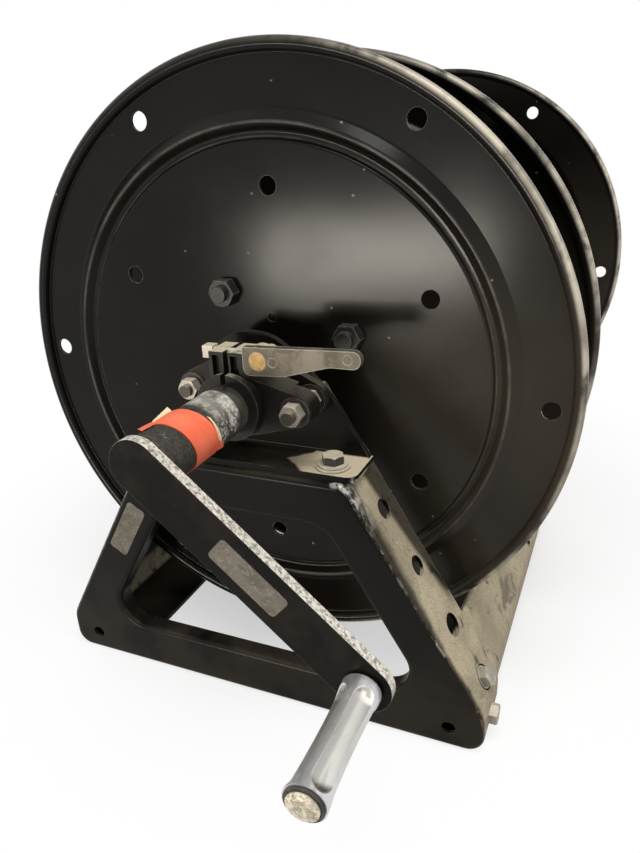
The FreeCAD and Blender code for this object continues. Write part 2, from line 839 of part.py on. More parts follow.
up = Vector(0, 0, 1)
bracket_bolts = []
bracket_washers = []
bracket_nuts = []
for end in ENDS:
    for side in SIDES:
        seat = Vector(side * bracket_bolt_x, place(end, bracket_bolt_out), bracket_top_z)
        second = seat + up * washer_sheet
        top = second + up * washer_sheet
        under = Vector(seat.x, seat.y, frame_top_z - frame_sheet)
        bore = bolt_radius + slip_gap
        bracket_washers.append(washer(wide_washer_radius, bore, seat, second))
        bracket_washers.append(washer(washer_radius, bore, second, top))
        length = (top - under).Length + nut_height + bolt_tail
        bracket_bolts.append(bolt(bolt_flats, bolt_radius, bolt_head, top, up, length))
        bracket_nuts.append(nut(bolt_flats, bolt_radius, under, under - up * nut_height))
write("bracket_bolts", *bracket_bolts)
write("bracket_washers", *bracket_washers)
write("bracket_nuts", *bracket_nuts)

# Bearings


def bearing_housing(end):
    """A two-bolt cast housing on the outer face of the bracket's upright."""
    back_y = place(end, upright_out)
    face_y = place(end, housing_face)
    boss_y = place(end, race_front)
    ears = []
    for side in SIDES:
        ear = (side * bearing_bolt_x, 0)
        ears.append(tapered_link((0, 0), housing_radius, ear, housing_ear_radius, back_y, face_y))
    body = ears[0].fuse([ears[1], axle(housing_boss_radius, back_y, boss_y)]).removeSplitter()
    cuts = [axle(race_outer_radius, back_y, boss_y)]
    for side in SIDES:
        cuts.append(axle(bolt_radius + hole_gap, back_y, face_y, side * bearing_bolt_x))
    return body.cut(cuts)


write("front_bearing_housing", bearing_housing(FRONT))
write("rear_bearing_housing", bearing_housing(REAR))

outer_races = []
inner_races = []
balls = []
collars = []
for end in ENDS:
    front_y = place(end, race_front)
    behind_y = place(end, race_front - race_width)
    back_y = place(end, race_back)
    ball_y = (front_y + behind_y) / 2
    track = Part.makeTorus(ball_circle, ball_radius + running_gap, Vector(0, ball_y, 0), Vector(0, 1, 0))
    outer_races.append(sleeve(race_outer_radius, race_outer_inside, front_y, behind_y).cut(track))
    inner_races.append(sleeve(race_inner_outside, shaft_radius, front_y, back_y).cut(track))
    for x, z in around(ball_circle, ball_count, 0):
        balls.append(Part.makeSphere(ball_radius, Vector(x, ball_y, z)))
    collar_y = place(end, race_back - collar_length)
    collar = sleeve(collar_radius, shaft_radius, back_y, collar_y)
    collars.append(collar.cut(set_screw((back_y + collar_y) / 2, collar_screw_radius, collar_radius)))
write("outer_races", *outer_races)
write("inner_races", *inner_races)
write("bearing_balls", *balls)
write("locking_collars", *collars)

bearing_bolts = []
bearing_washers = []
bearing_nuts = []
for end in ENDS:
    outward = Vector(0, end, 0)
    for side in SIDES:
        x = side * bearing_bolt_x
        head_seat = Vector(x, place(end, upright_out - bracket_sheet), 0)
        washer_seat = Vector(x, place(end, housing_face), 0)
        nut_seat = washer_seat + outward * washer_sheet
        nut_top = nut_seat + outward * nut_height
        is_anchor = end == FRONT and side == RIGHT
        tip_y = place(end, anchor_end) if is_anchor else nut_top.y + end * bolt_tail
        length = abs(tip_y - head_seat.y)
        bearing_bolts.append(bolt(bolt_flats, bolt_radius, bolt_head, head_seat, -outward, length))
        bearing_washers.append(washer(washer_radius, bolt_radius + slip_gap, washer_seat, nut_seat))
        bearing_nuts.append(nut(bolt_flats, bolt_radius, nut_seat, nut_top))
anchor_seat = Vector(bearing_bolt_x, place(FRONT, brake_arm_face), 0)
anchor_nut_seat = anchor_seat - Vector(0, washer_sheet, 0)
anchor_nut_top = anchor_nut_seat - Vector(0, nut_height, 0)
bearing_washers.append(washer(washer_radius, bolt_radius + slip_gap, anchor_seat, anchor_nut_seat))
bearing_nuts.append(nut(bolt_flats, bolt_radius, anchor_nut_seat, anchor_nut_top))
write("bearing_bolts", *bearing_bolts)
write("bearing_washers", *bearing_washers)
write("bearing_nuts", *bearing_nuts)

# Shaft brake

brake_back_y = place(FRONT, brake_back)
brake_face_y = place(FRONT, brake_back + brake_length)
arm_face_y = place(FRONT, brake_arm_face)
lug_face_y = place(FRONT, brake_back + lug_length)
split_gap = box(split_left_x, split_right_x, brake_back_y, brake_face_y, 0, lug_top)


def draw_bolt_bar(radius, x_first, x_last):
    """A round bar on the draw bolt's axis."""
    y = place(FRONT, draw_bolt_place)
    return rod(radius, Vector(x_first, y, pivot_z), Vector(x_last, y, pivot_z))


def brake_clamp():
    """A split casting round the shaft, with two lugs above and an arm to the anchor stud."""
    anchor = (bearing_bolt_x, 0)
    body = tapered_link((0, 0), brake_radius, anchor, brake_ear_radius, brake_back_y, arm_face_y)
    lugs = box(lug_left_x, lug_right_x, brake_back_y, lug_face_y, 0, lug_top)
    body = body.fuse([axle(brake_radius, brake_back_y, brake_face_y), lugs]).removeSplitter()
    cuts = [
        axle(lining_radius, brake_back_y, brake_face_y),
        axle(brake_nut_room, brake_back_y, place(FRONT, brake_ear_back), bearing_bolt_x),
        axle(bolt_radius + hole_gap, brake_back_y, arm_face_y, bearing_bolt_x),
        draw_bolt_bar(draw_bolt_radius + hole_gap, lug_left_x, lug_right_x),
        split_gap,
    ]
    for middle in (pocket_left_x, pocket_right_x):
        left = middle - pocket_width / 2
        right = middle + pocket_width / 2
        bottom_y = place(FRONT, brake_back + lug_length - pocket_depth)
        cuts.append(box(left, right, bottom_y, lug_face_y, pocket_bottom, pocket_top))
    return body.cut(cuts)


write("brake_clamp", brake_clamp())
lining_first = place(FRONT, brake_back + lining_inset)
lining_last = place(FRONT, brake_back + brake_length - lining_inset)
lining = sleeve(lining_radius, shaft_radius + running_gap, lining_first, lining_last)
write("brake_lining", lining.cut(split_gap))

draw_y = place(FRONT, draw_bolt_place)
draw_half = draw_head_size / 2
head_x = lug_left_x - draw_head_length
head_low_z = pivot_z - draw_half
head_high_z = pivot_z + draw_half
draw_head = box(head_x, lug_left_x, draw_y - draw_half, draw_y + draw_half, head_low_z, head_high_z)
write("brake_draw_bolt", draw_head.fuse(draw_bolt_bar(draw_bolt_radius, lug_left_x, pivot_x)))

lever_face_y = place(FRONT, brake_back + lever_out)
lever_back_y = lever_face_y + lever_hub_length
pin_first_y = lever_face_y - pivot_proud
pin_last_y = place(FRONT, draw_bolt_place - pivot_tail)
pivot_pin = axle(pivot_radius, pin_first_y, pin_last_y, pivot_x, pivot_z)
write("brake_pivot_pin", pivot_pin.cut(draw_bolt_bar(draw_bolt_radius, lug_left_x, pivot_x)))


def brake_lever():
    """A flat lever that narrows to its tip, and behind its head a round cam set a little off the pin."""
    corners = [
        (-lever_head_x, -lever_head_bottom, lever_chin_radius),
        (lever_heel_x, -lever_heel_drop, lever_bend_radius),
        (lever_waist_x, 0, lever_bend_radius),
        (lever_tip_x, 0, lever_tip_radius),
        (lever_tip_x, lever_tip_top, lever_tip_radius),
        (-lever_head_x, lever_head_top, lever_head_radius),
    ]
    corners = [(pivot_x + x, pivot_z + z, radius) for x, z, radius in corners]
    arm = prism(corners, lever_face_y, lever_face_y + lever_arm_length)
    cam = axle(lever_hub_radius, lever_face_y, lever_back_y, pivot_x - cam_offset, pivot_z)
    body = arm.fuse(cam).removeSplitter()
    cuts = [axle(pivot_radius + running_gap, lever_face_y, lever_back_y, pivot_x, pivot_z)]
    for mark_x, mark_z in (
        (pivot_x + lever_mark_near_x, pivot_z),
        (pivot_x + lever_mark_far_x, pivot_z + lever_tip_top / 2),
    ):
        mark_y = lever_face_y + lever_mark_depth
        cuts.append(axle(lever_mark_radius, lever_face_y, mark_y, mark_x, mark_z))
    return body.cut(cuts)


write("brake_lever", brake_lever())

# Crank

tube_first_y = place(FRONT, crank_tube_start)
tube_last_y = place(FRONT, crank_tube_end)
crank_tube = sleeve(crank_tube_radius, shaft_radius + slip_gap, tube_first_y, tube_last_y)
write("crank_tube", crank_tube.cut(crank_pin))
write("crank_pin", crank_pin)
tape_bore = crank_tube_radius + slip_gap
tape_first_y = place(FRONT, tape_start)
tape_last_y = place(FRONT, tape_start + tape_width)
write("tape_band", sleeve(tape_bore + tape_sheet, tape_bore, tape_first_y, tape_last_y))

arm_back_y = place(FRONT, crank_tube_end)
crank_face_y = place(FRONT, arm_face)
arm_start = (-crank_overhang * math.cos(crank_angle), -crank_overhang * math.sin(crank_angle))
arm_finish = (grip_x, grip_z)
arm = tapered_link(arm_start, arm_radius, arm_finish, arm_radius, arm_back_y, crank_face_y)
rims = [e for e in arm.Edges if abs(e.Vertexes[0].Y - e.Vertexes[-1].Y) < 1e-4]
arm = arm.makeFillet(arm_edge, rims)
write("crank_arm", arm.cut(axle(bolt_radius + slip_gap, arm_back_y, crank_face_y, grip_x, grip_z)))


def plate(centre_x, centre_z, slant, y_first, y_last):
    """A thin bare plate whose long side is turned by a slant about Y."""
    half_length = plate_length / 2
    half_width = plate_width / 2
    corners = []
    for u, w in ((-1, -1), (1, -1), (1, 1), (-1, 1)):
        x = centre_x + u * half_length * math.cos(slant) - w * half_width * math.sin(slant)
        z = centre_z + u * half_length * math.sin(slant) + w * half_width * math.cos(slant)
        corners.append((x, z, plate_corner))
    return prism(corners, y_first, y_last)


arm_plate_x = arm_plate_along * math.cos(crank_angle)
arm_plate_z = arm_plate_along * math.sin(crank_angle)
arm_plate_top = place(FRONT, arm_face + plate_sheet)
write("arm_plate", plate(arm_plate_x, arm_plate_z, crank_angle, crank_face_y, arm_plate_top))
leg_plate_x, leg_plate_z = leg_point(LEFT, leg_head_along + leg_plate_head_gap, leg_plate_across)
frame_face_y = place(FRONT, frame_face)
leg_plate_top = place(FRONT, frame_face + plate_sheet)
leg_slant = math.pi / 2 - leg_angle
write("frame_plate", plate(leg_plate_x, leg_plate_z, leg_slant, frame_face_y, leg_plate_top))

# Turning grip and its bolt


def grip():
    """A turned handle with a slight waist, long round-ended flutes and a bore for its bushes."""
    first_y = place(FRONT, grip_foot)
    last_y = place(FRONT, grip_foot + grip_length)
    middle_y = (first_y + last_y) / 2
    side = Part.Arc(
        Vector(grip_radius, first_y, 0),
        Vector(grip_radius - grip_waist, middle_y, 0),
        Vector(grip_radius, last_y, 0),
    )
    corners = [
        Vector(grip_radius, last_y, 0),
        Vector(grip_bore, last_y, 0),
        Vector(grip_bore, first_y, 0),
        Vector(grip_radius, first_y, 0),
    ]
    wire = Part.Wire([side.toShape()] + Part.makePolygon(corners).Edges)
    body = Part.Face(wire).revolve(Vector(0, 0, 0), Vector(0, 1, 0), 360)
    cuts = []
    start_y = place(FRONT, grip_foot + flute_foot_inset)
    stop_y = place(FRONT, grip_foot + grip_length - flute_tip_inset)
    for x, z in around(grip_radius + flute_radius - flute_depth, flute_count, flute_angle):
        cuts.append(axle(flute_radius, start_y, stop_y, x, z))
        cuts.append(Part.makeSphere(flute_radius, Vector(x, start_y, z)))
        cuts.append(Part.makeSphere(flute_radius, Vector(x, stop_y, z)))
    body = body.cut(cuts)
    body.translate(Vector(grip_x, 0, grip_z))
    return body


def grip_sleeve(radius, bore, out_first, out_last):
    """A tube on the grip bolt's axis."""
    return sleeve(radius, bore, place(FRONT, out_first), place(FRONT, out_last), grip_x, grip_z)


write("grip", grip())
bush_bore = bolt_radius + running_gap
grip_head_end = grip_foot + grip_length
near_bush = grip_sleeve(grip_bore, bush_bore, grip_foot, grip_foot + bush_length)
far_bush = grip_sleeve(grip_bore, bush_bore, grip_head_end - bush_length, grip_head_end)
write("grip_bushes", near_bush, far_bush)
end_ring_radius = grip_radius - end_ring_inset
write("grip_end_ring", grip_sleeve(end_ring_radius, bolt_radius + hole_gap, grip_head_end, grip_tip))

head_seat = grip_tip + grip_head_gap
dome_base = head_seat + grip_head_rim
dome_sphere = (grip_head_radius**2 + grip_head_dome**2) / (2 * grip_head_dome)
dome_middle_y = place(FRONT, dome_base + grip_head_dome - dome_sphere)
dome = Part.makeSphere(dome_sphere, Vector(grip_x, dome_middle_y, grip_z))
dome_room = axle(
    grip_head_radius,
    place(FRONT, dome_base),
    place(FRONT, dome_base + grip_head_dome * 2),
    grip_x,
    grip_z,
)
head_disc = axle(grip_head_radius, place(FRONT, head_seat), place(FRONT, dome_base), grip_x, grip_z)
arm_washer_back = crank_tube_end - washer_sheet
arm_nut_back = arm_washer_back - nut_height
shank_end = arm_nut_back - bolt_tail
shank = axle(bolt_radius, place(FRONT, head_seat), place(FRONT, shank_end), grip_x, grip_z)
write("grip_bolt", dome.common(dome_room).fuse([head_disc, shank]).removeSplitter())
washer_bore = bolt_radius + slip_gap
back_washer = grip_sleeve(grip_washer_radius, washer_bore, arm_washer_back, crank_tube_end)
front_washer = grip_sleeve(grip_washer_radius, washer_bore, arm_face, arm_face + washer_sheet)
write("grip_washers", back_washer, front_washer)
nut_first = Vector(grip_x, place(FRONT, arm_washer_back), grip_z)
nut_last = Vector(grip_x, place(FRONT, arm_nut_back), grip_z)
write("grip_nut", nut(bolt_flats, bolt_radius, nut_first, nut_last))

# Inlet swivel on the hollow rear shaft

body_first_y = place(REAR, swivel_start)
bore_last_y = place(REAR, swivel_start + swivel_bore_length)
body_last_y = place(REAR, swivel_end)
cap_face_y = place(REAR, cap_face)
seal_circle = shaft_radius + seal_gap + seal_radius
seal_places = [swivel_start + seal_first + seal_pitch * k for k in range(2)]
seal_groove = seal_radius + groove_gap
groove_radius = seal_circle + seal_radius + groove_gap
grooves = []
seals = []
for out in seal_places:
    y = place(REAR, out)
    grooves.append(axle(groove_radius, y - seal_groove, y + seal_groove))
    seals.append(Part.makeTorus(seal_circle, seal_radius, Vector(0, y, 0), Vector(0, 1, 0)))
cap_screws = []
screw_holes = []
for x, z in around(cap_screw_circle, cap_screw_count, 45.0):
    head_y = place(REAR, cap_face)
    tip_y = place(REAR, swivel_end - cap_screw_length)
    shank = axle(cap_screw_radius, tip_y, head_y, x, z)
    screw_holes.append(shank)
    head = axle(cap_screw_head_radius, head_y, head_y + cap_screw_head, x, z)
    cap_screws.append(shank.fuse(head))
swivel_body = axle(swivel_radius, body_first_y, body_last_y)
swivel_bore = axle(shaft_radius + running_gap, body_first_y, bore_last_y)
swivel_room = axle(swivel_room_radius, bore_last_y, body_last_y)
write("swivel_body", swivel_body.cut([swivel_bore, swivel_room] + grooves + screw_holes))
write("swivel_cap", sleeve(swivel_radius, elbow_bore, body_last_y, cap_face_y).cut(screw_holes))
write("swivel_seals", *seals)
write("swivel_screws", *cap_screws)


def quarter_bend(radius):
    """A round bar that turns from the shaft's axis down towards the floor."""
    circle = Part.Circle(Vector(0, cap_face_y, 0), Vector(0, 1, 0), radius).toShape()
    face = Part.Face(Part.Wire([circle]))
    return face.revolve(Vector(0, cap_face_y, -elbow_bend), Vector(1, 0, 0), -90)


bend_y = cap_face_y + elbow_bend
nut_top_point = Vector(0, bend_y, -elbow_bend)
nut_foot_point = Vector(0, bend_y, -elbow_bend - inlet_nut_length)
thread_top_point = nut_foot_point + up * inlet_thread_length
elbow = quarter_bend(elbow_radius).fuse(hexagon(inlet_nut_flats, nut_top_point, nut_foot_point))
elbow = elbow.cut(
    [
        quarter_bend(elbow_bore),
        rod(elbow_bore, nut_top_point, nut_foot_point),
        rod(inlet_thread_radius, thread_top_point, nut_foot_point),
    ]
)
write("inlet_elbow", elbow)
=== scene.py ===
import json
import math
import random

import bpy
from mathutils import Matrix, Vector


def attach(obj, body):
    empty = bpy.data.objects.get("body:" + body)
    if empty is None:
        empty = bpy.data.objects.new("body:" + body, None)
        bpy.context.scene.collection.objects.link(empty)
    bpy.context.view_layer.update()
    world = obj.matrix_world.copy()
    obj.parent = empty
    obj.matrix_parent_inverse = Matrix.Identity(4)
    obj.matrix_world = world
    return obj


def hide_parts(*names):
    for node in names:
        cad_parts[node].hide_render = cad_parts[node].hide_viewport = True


# Looks of the hose reel: painted and worn sheet metal, castings, zinc hardware, tape and grip.
# Lengths are in metres, X to the right as seen from the crank, Y towards the inlet, Z up.

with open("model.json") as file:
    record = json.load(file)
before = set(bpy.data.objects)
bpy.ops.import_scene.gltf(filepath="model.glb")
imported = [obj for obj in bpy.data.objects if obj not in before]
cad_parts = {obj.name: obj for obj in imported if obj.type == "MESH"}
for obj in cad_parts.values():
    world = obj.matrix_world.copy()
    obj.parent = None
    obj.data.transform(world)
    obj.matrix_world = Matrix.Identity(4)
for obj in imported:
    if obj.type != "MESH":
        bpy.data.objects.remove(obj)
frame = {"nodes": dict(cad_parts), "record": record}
bpy.ops.object.select_all(action="DESELECT")
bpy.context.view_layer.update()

# Places on the reel
AXIS_Z = 0.258
HALF_SPAN = 0.25145
NEAR_RIM_Y = -HALF_SPAN
DIVIDER_RIM_Y = -HALF_SPAN + 0.1151
FAR_RIM_Y = HALF_SPAN
FRAME_FACE_Y = -HALF_SPAN - 0.073
LEG_ANGLE = math.radians(31.0)
BRACKET_TOP_Z = 0.214
ARM_BACK_Y = -HALF_SPAN - 0.172
LEVER_FACE_Y = -0.3220
LEVER_HAND_X = 0.062
SHELF_Y = -0.302
TUBE_GREY_Y = -0.3600
TUBE_DARK_Y = -0.3725
GRIP_X = 0.13494
GRIP_Z = 0.14070
GRIP_TIP_Y = -0.511
GRIP_HOLLOW = 0.0104
GRIP_RIDGE = 0.0116

# Pressed flanges
RIM_RADIUS = 0.0045
RIM_CIRCLE = 0.2241
BAND_RADIUS = 0.187
RIDGE_OUTER = 0.180
RIDGE_INNER = 0.1775
GROOVE_OUTER = 0.173
GROOVE_INNER = 0.1695
MIDDLE_RADIUS = 0.167
MIDDLE_DEPTH = 0.003
GROOVE_DEPTH = 0.006
RIDGE_DEPTH = 0.001
BAND_DEPTH = 0.006
SHEET = 0.002
PRESS_BEND = 0.0013
BORE = 0.01315
FLANGE_SIDES = 288
RIM_STEPS = 22
BEND_FROM = math.radians(22.0)
HOLE_SIDES = 40
DRILL_LENGTH = 0.03
# Rings of holes in each flange: (circle, count, first angle, hole radius)
HOLE_RINGS = [
    (0.2070, 6, -2.1, 0.0066),
    (0.1384, 6, 27.9, 0.0066),
    (0.0730, 4, 29.0, 0.0068),
    (0.0460, 1, 88.0, 0.0035),
]

# Crank tube and the tape round it
TUBE_RADIUS = 0.0181
TAPE_SHEET = 0.0006
TAPE_GAP = 0.00003
TAPE_HIGH_ANGLE = math.radians(120.0)
TAPE_NEAR = 0.1225
TAPE_NEAR_SWING = 0.0055
TAPE_NEAR_RAGGED = 0.0005
TAPE_FAR = 0.1485
TAPE_FAR_SWING = 0.0045
TAPE_FAR_RAGGED = 0.0004
TAPE_CREASE = 0.00022
TAPE_ROWS = 16
TAPE_SIDES = 160
STRIP_SEAT = 0.0007
STRIP_GAP = 0.0001
STRIP_SHEET = 0.0003
STRIP_RAGGED = 0.0005
STRIP_RIPPLE = 0.0002
WRINKLE_TURNS = (2, 3, 5, 8, 13, 21)
WRINKLE_REACH = 2.6

# Limits for meshes: points that are one point, and angles that are flat or sharp
ONE_POINT = 0.000005
FLAT_WITHIN = math.radians(0.4)
SHARP_FROM = math.radians(32.0)


# Small helpers for modelling


def choose(piece):
    """Make one piece the only selected and active one."""
    bpy.ops.object.select_all(action="DESELECT")
    piece.select_set(True)
    bpy.context.view_layer.objects.active = piece


def modify(piece, kind, **settings):
    """Add a modifier to a piece and apply it."""
    choose(piece)
    modifier = piece.modifiers.new(kind.title(), kind)
    for key, value in settings.items():
        setattr(modifier, key, value)
    bpy.ops.object.modifier_apply(modifier=modifier.name)


def settle(piece):
    """Put a piece's place into its mesh."""
    choose(piece)
    bpy.ops.object.transform_apply(location=True, rotation=True, scale=True)


def smooth(piece, degrees):
    """Shade a piece smooth up to an angle, with its large faces kept flat."""
    choose(piece)
    bpy.ops.object.shade_smooth_by_angle(angle=math.radians(degrees))
    modify(piece, "WEIGHTED_NORMAL", keep_sharp=True, weight=80)


def tidy_mesh():
    """In edit mode: merge doubles and turn every face outwards."""
    bpy.ops.mesh.select_all(action="SELECT")
    bpy.ops.mesh.remove_doubles(threshold=ONE_POINT)
    bpy.ops.mesh.normals_make_consistent(inside=False)


def arc(middle, radius, first, last, steps):
    """Points of a circle's arc as (radius from the axis, y), angles in degrees."""
    angles = [math.radians(first + (last - first) * k / steps) for k in range(steps + 1)]
    return [(middle[0] + radius * math.cos(a), middle[1] + radius * math.sin(a)) for a in angles]


def turned(name, profile, sides, x=0.0, z=AXIS_Z):
    """A piece turned about Y: a circle is extruded, scaled and moved round a closed (radius, y) profile."""
    radius, y = profile[0]
    bpy.ops.mesh.primitive_circle_add(
        vertices=sides, radius=radius, location=(x, y, z), rotation=(math.pi / 2, 0, 0)
    )
    piece = bpy.context.object
    piece.name = name
    settle(piece)
    bpy.ops.object.mode_set(mode="EDIT")
    bpy.ops.mesh.select_all(action="SELECT")
    for next_radius, next_y in profile[1:] + profile[:1]:
        bpy.ops.mesh.extrude_region_move(TRANSFORM_OT_translate={"value": (0, next_y - y, 0)})
        grow = next_radius / radius
        bpy.ops.transform.resize(value=(grow, 1, grow), center_override=(x, next_y, z))
        radius, y = next_radius, next_y
    tidy_mesh()
    bpy.ops.object.mode_set(mode="OBJECT")
    return piece


def softened(node, width, segments):
    """A copy of a CAD node with its sharp edges rounded, which is shown in the node's place."""
    piece = bpy.data.objects.new(node + "_shown", frame["nodes"][node].data.copy())
    bpy.context.scene.collection.objects.link(piece)
    choose(piece)
    bpy.ops.mesh.customdata_custom_splitnormals_clear()
    bpy.ops.object.mode_set(mode="EDIT")
    bpy.ops.mesh.select_all(action="SELECT")
    bpy.ops.mesh.remove_doubles(threshold=ONE_POINT)
    bpy.ops.mesh.dissolve_limited(angle_limit=FLAT_WITHIN)
    bpy.ops.object.mode_set(mode="OBJECT")
    modify(
        piece, "BEVEL", width=width, segments=segments, limit_method="ANGLE", angle_limit=SHARP_FROM,
        use_clamp_overlap=True, miter_outer="MITER_ARC",
    )
    smooth(piece, 40)
    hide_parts(node)
    return piece


# Finishes, written as expressions on shader sockets

BY_CAMERA = ("Is Camera Ray",)
BY_ANY_VIEW = ("Is Camera Ray", "Is Glossy Ray", "Is Transmission Ray")


class Signal:
    """A shader socket in a Python expression; each operator adds its Math node."""

    def __init__(self, finish, socket):
        self.finish = finish
        self.socket = socket

    def math(self, operation, *terms):
        return self.finish.node("ShaderNodeMath", {"operation": operation}, dict(enumerate(terms)))

    def __add__(self, other):
        return self.math("ADD", self, other)

    def __radd__(self, other):
        return self.math("ADD", other, self)

    def __sub__(self, other):
        return self.math("SUBTRACT", self, other)

    def __rsub__(self, other):
        return self.math("SUBTRACT", other, self)

    def __mul__(self, other):
        return self.math("MULTIPLY", self, other)

    def __rmul__(self, other):
        return self.math("MULTIPLY", other, self)

    def __truediv__(self, other):
        return self.math("DIVIDE", self, other)

    def __pow__(self, other):
        return self.math("POWER", self, other)

    def __abs__(self):
        return self.math("ABSOLUTE", self)

    def wave(self):
        """The sine of an angle, brought between 0 and 1."""
        return self.math("SINE", self) * 0.5 + 0.5

    def least(self, other):
        return self.math("MINIMUM", self, other)

    def most(self, other):
        return self.math("MAXIMUM", self, other)

    def ramp(self, low, high):
        """0 below low and 1 above high, smooth between them."""
        values = {"Value": self, "From Min": low, "From Max": high}
        return self.finish.node("ShaderNodeMapRange", {"interpolation_type": "SMOOTHSTEP"}, values)

    def near(self, place, reach):
        """1 at a place, falling to 0 at its reach on both sides."""
        return 1 - abs(self - place).ramp(0, reach)


class Nodes:
    """A node tree of a material or of the world."""

    def __init__(self, owner):
        owner.use_nodes = True
        self.tree = owner.node_tree
        self.tree.nodes.clear()

    def node(self, kind, settings, values, output=0):
        """Add a node with its settings and its inputs, and give one of its outputs."""
        made = self.tree.nodes.new(kind)
        for key, value in settings.items():
            setattr(made, key, value)
        for key, value in values.items():
            if isinstance(value, Signal):
                self.tree.links.new(value.socket, made.inputs[key])
            else:
                made.inputs[key].default_value = value
        return None if output is None else Signal(self, made.outputs[output])

    def seen(self, kinds):
        """1 for the kinds of ray that are given and 0 for the others."""
        path = self.node("ShaderNodeLightPath", {}, {}).socket.node
        share = Signal(self, path.outputs[kinds[0]])
        for kind in kinds[1:]:
            share = share.most(Signal(self, path.outputs[kind]))
        return share


class Finish(Nodes):
    """One procedural surface, put together from nodes."""

    def __init__(self, name):
        self.material = bpy.data.materials.new(name)
        super().__init__(self.material)
        self.places = self.node("ShaderNodeTexCoord", {}, {}, "Object")
        self.x, self.y, self.z = self.split(self.places)

    def stretched(self, x, y, z):
        """The object's coordinates scaled along each axis."""
        values = {0: self.places, 1: (x, y, z)}
        return self.node("ShaderNodeVectorMath", {"operation": "MULTIPLY"}, values)

    def noise(self, scale, detail=3.0, roughness=0.55, distortion=0.0, where=None):
        values = {
            "Vector": where or self.places,
            "Scale": scale,
            "Detail": detail,
            "Roughness": roughness,
            "Distortion": distortion,
        }
        return self.node("ShaderNodeTexNoise", {}, values)

    def specks(self, scale, where=None):
        """The distance to the nearest of many scattered points."""
        values = {"Vector": where or self.places, "Scale": scale}
        return self.node("ShaderNodeTexVoronoi", {}, values, "Distance")

    def split(self, vector):
        """The X, Y and Z of a vector."""
        made = self.node("ShaderNodeSeparateXYZ", {}, {"Vector": vector}, "X").socket.node
        return [Signal(self, made.outputs[axis]) for axis in "XYZ"]

    def facing(self):
        """How far the surface faces along X, Y and Z of its own body."""
        return self.split(self.node("ShaderNodeTexCoord", {}, {}, "Normal"))

    def facing_up(self):
        return self.facing()[2]

    def edges(self, width):
        """High along sharp edges and corners."""
        soft = self.node("ShaderNodeBevel", {"samples": 6}, {"Radius": width})
        plain = self.node("ShaderNodeNewGeometry", {}, {}, "Normal")
        values = {0: soft, 1: plain}
        return 1 - self.node("ShaderNodeVectorMath", {"operation": "DOT_PRODUCT"}, values, "Value")

    def mix(self, share, first, second):
        """A colour between two colours."""
        first = first if isinstance(first, Signal) else (*first, 1.0)
        second = second if isinstance(second, Signal) else (*second, 1.0)
        return self.node("ShaderNodeMix", {"data_type": "RGBA"}, {0: share, 6: first, 7: second}, 2)

    def radius(self):
        """The distance from the drum's axis."""
        rise = self.z - AXIS_Z
        return (self.x * self.x + rise * rise) ** 0.5

    def bump(self, height, depth):
        """A normal for a height from 0 to 1 that stands for a depth in metres."""
        return self.node("ShaderNodeBump", {}, {"Height": height, "Distance": depth, "Strength": 1.0})

    def surface(self, **values):
        """The shader itself, with the values or signals of its sockets."""
        names = {
            "colour": "Base Color",
            "rough": "Roughness",
            "metal": "Metallic",
            "specular": "Specular IOR Level",
            "normal": "Normal",
        }
        inputs = {}
        for key, value in values.items():
            if key == "colour" and not isinstance(value, Signal):
                value = (*value, 1.0)
            inputs[names[key]] = value
        shader = self.node("ShaderNodeBsdfPrincipled", {}, inputs)
        self.node("ShaderNodeOutputMaterial", {}, {"Surface": shader}, None)
        return self.material


# Paints and metals


def drum_paint():
    """Gloss black on pressed sheet: the stamped rings rubbed through and given a painted highlight, the rim
    worn bare with a painted highlight on its right side, and a painted warm reflection low on the right.
    """
    f = Finish("drum_black_paint")
    radius = f.radius()
    broad = f.noise(9.0, 4.0, 0.6)
    cloud = f.noise(28.0, 5.0, 0.6, 0.6)
    fine = f.noise(420.0, 4.0, 0.6)
    streak = f.noise(1.0, 5.0, 0.6, 0.0, f.stretched(60.0, 60.0, 240.0))
    # The two stamped rings are lighter: partly paint rubbed through, partly a painted highlight along their
    # bends.
    rings = radius.near(RIDGE_OUTER - 0.001, 0.0015).most(0.8 * radius.near(GROOVE_INNER, 0.0012))
    rubbed = rings * (0.25 + 0.75 * cloud.ramp(0.34, 0.66))
    # The rim crest is worn a little all round; its pale band on the right side is a painted highlight.
    right = f.x.ramp(-0.02, 0.19)
    crest = radius.ramp(RIM_CIRCLE - 0.0005, RIM_CIRCLE + 0.0023)
    worn = crest * (0.05 + 0.95 * right * broad.ramp(0.34, 0.56)) * cloud.ramp(0.30, 0.54)
    dots = f.specks(46.0)
    chips = dots.ramp(0.055, 0.035) * fine.ramp(0.45, 0.6) * 0.5
    chips = chips.most(f.edges(0.0011).ramp(0.10, 0.30) * (1 - crest) * cloud.ramp(0.36, 0.52) * 0.45)
    haze = broad.ramp(0.36, 0.78) * (0.35 + 0.65 * streak)
    # Warm lighter haze low on the right: settled dust, and a painted reflection.
    settled_dust_and_reflection = f.x.ramp(0.03, 0.13) * f.z.ramp(0.40, 0.27) * (0.55 + 0.45 * cloud)
    paint = f.mix(0.012 * haze + 0.085 * settled_dust_and_reflection, (0.0056, 0.0046, 0.0038), (0.40, 0.335, 0.24))
    paint = f.mix((0.40 * rubbed).least(1.0), paint, (0.22, 0.20, 0.17))
    paint = f.mix((worn + chips).least(1.0), paint, (0.50, 0.45, 0.36))
    rough = 0.15 + 0.08 * haze + 0.04 * fine + 0.30 * worn + 0.15 * rubbed
    waves = f.noise(5.5, 2.0, 0.4) * 0.9 + fine * 0.010
    return f.surface(
        colour=paint, rough=rough.least(0.8), metal=0.35 * worn, specular=0.135,
        normal=f.bump(waves, 0.0011),
    )


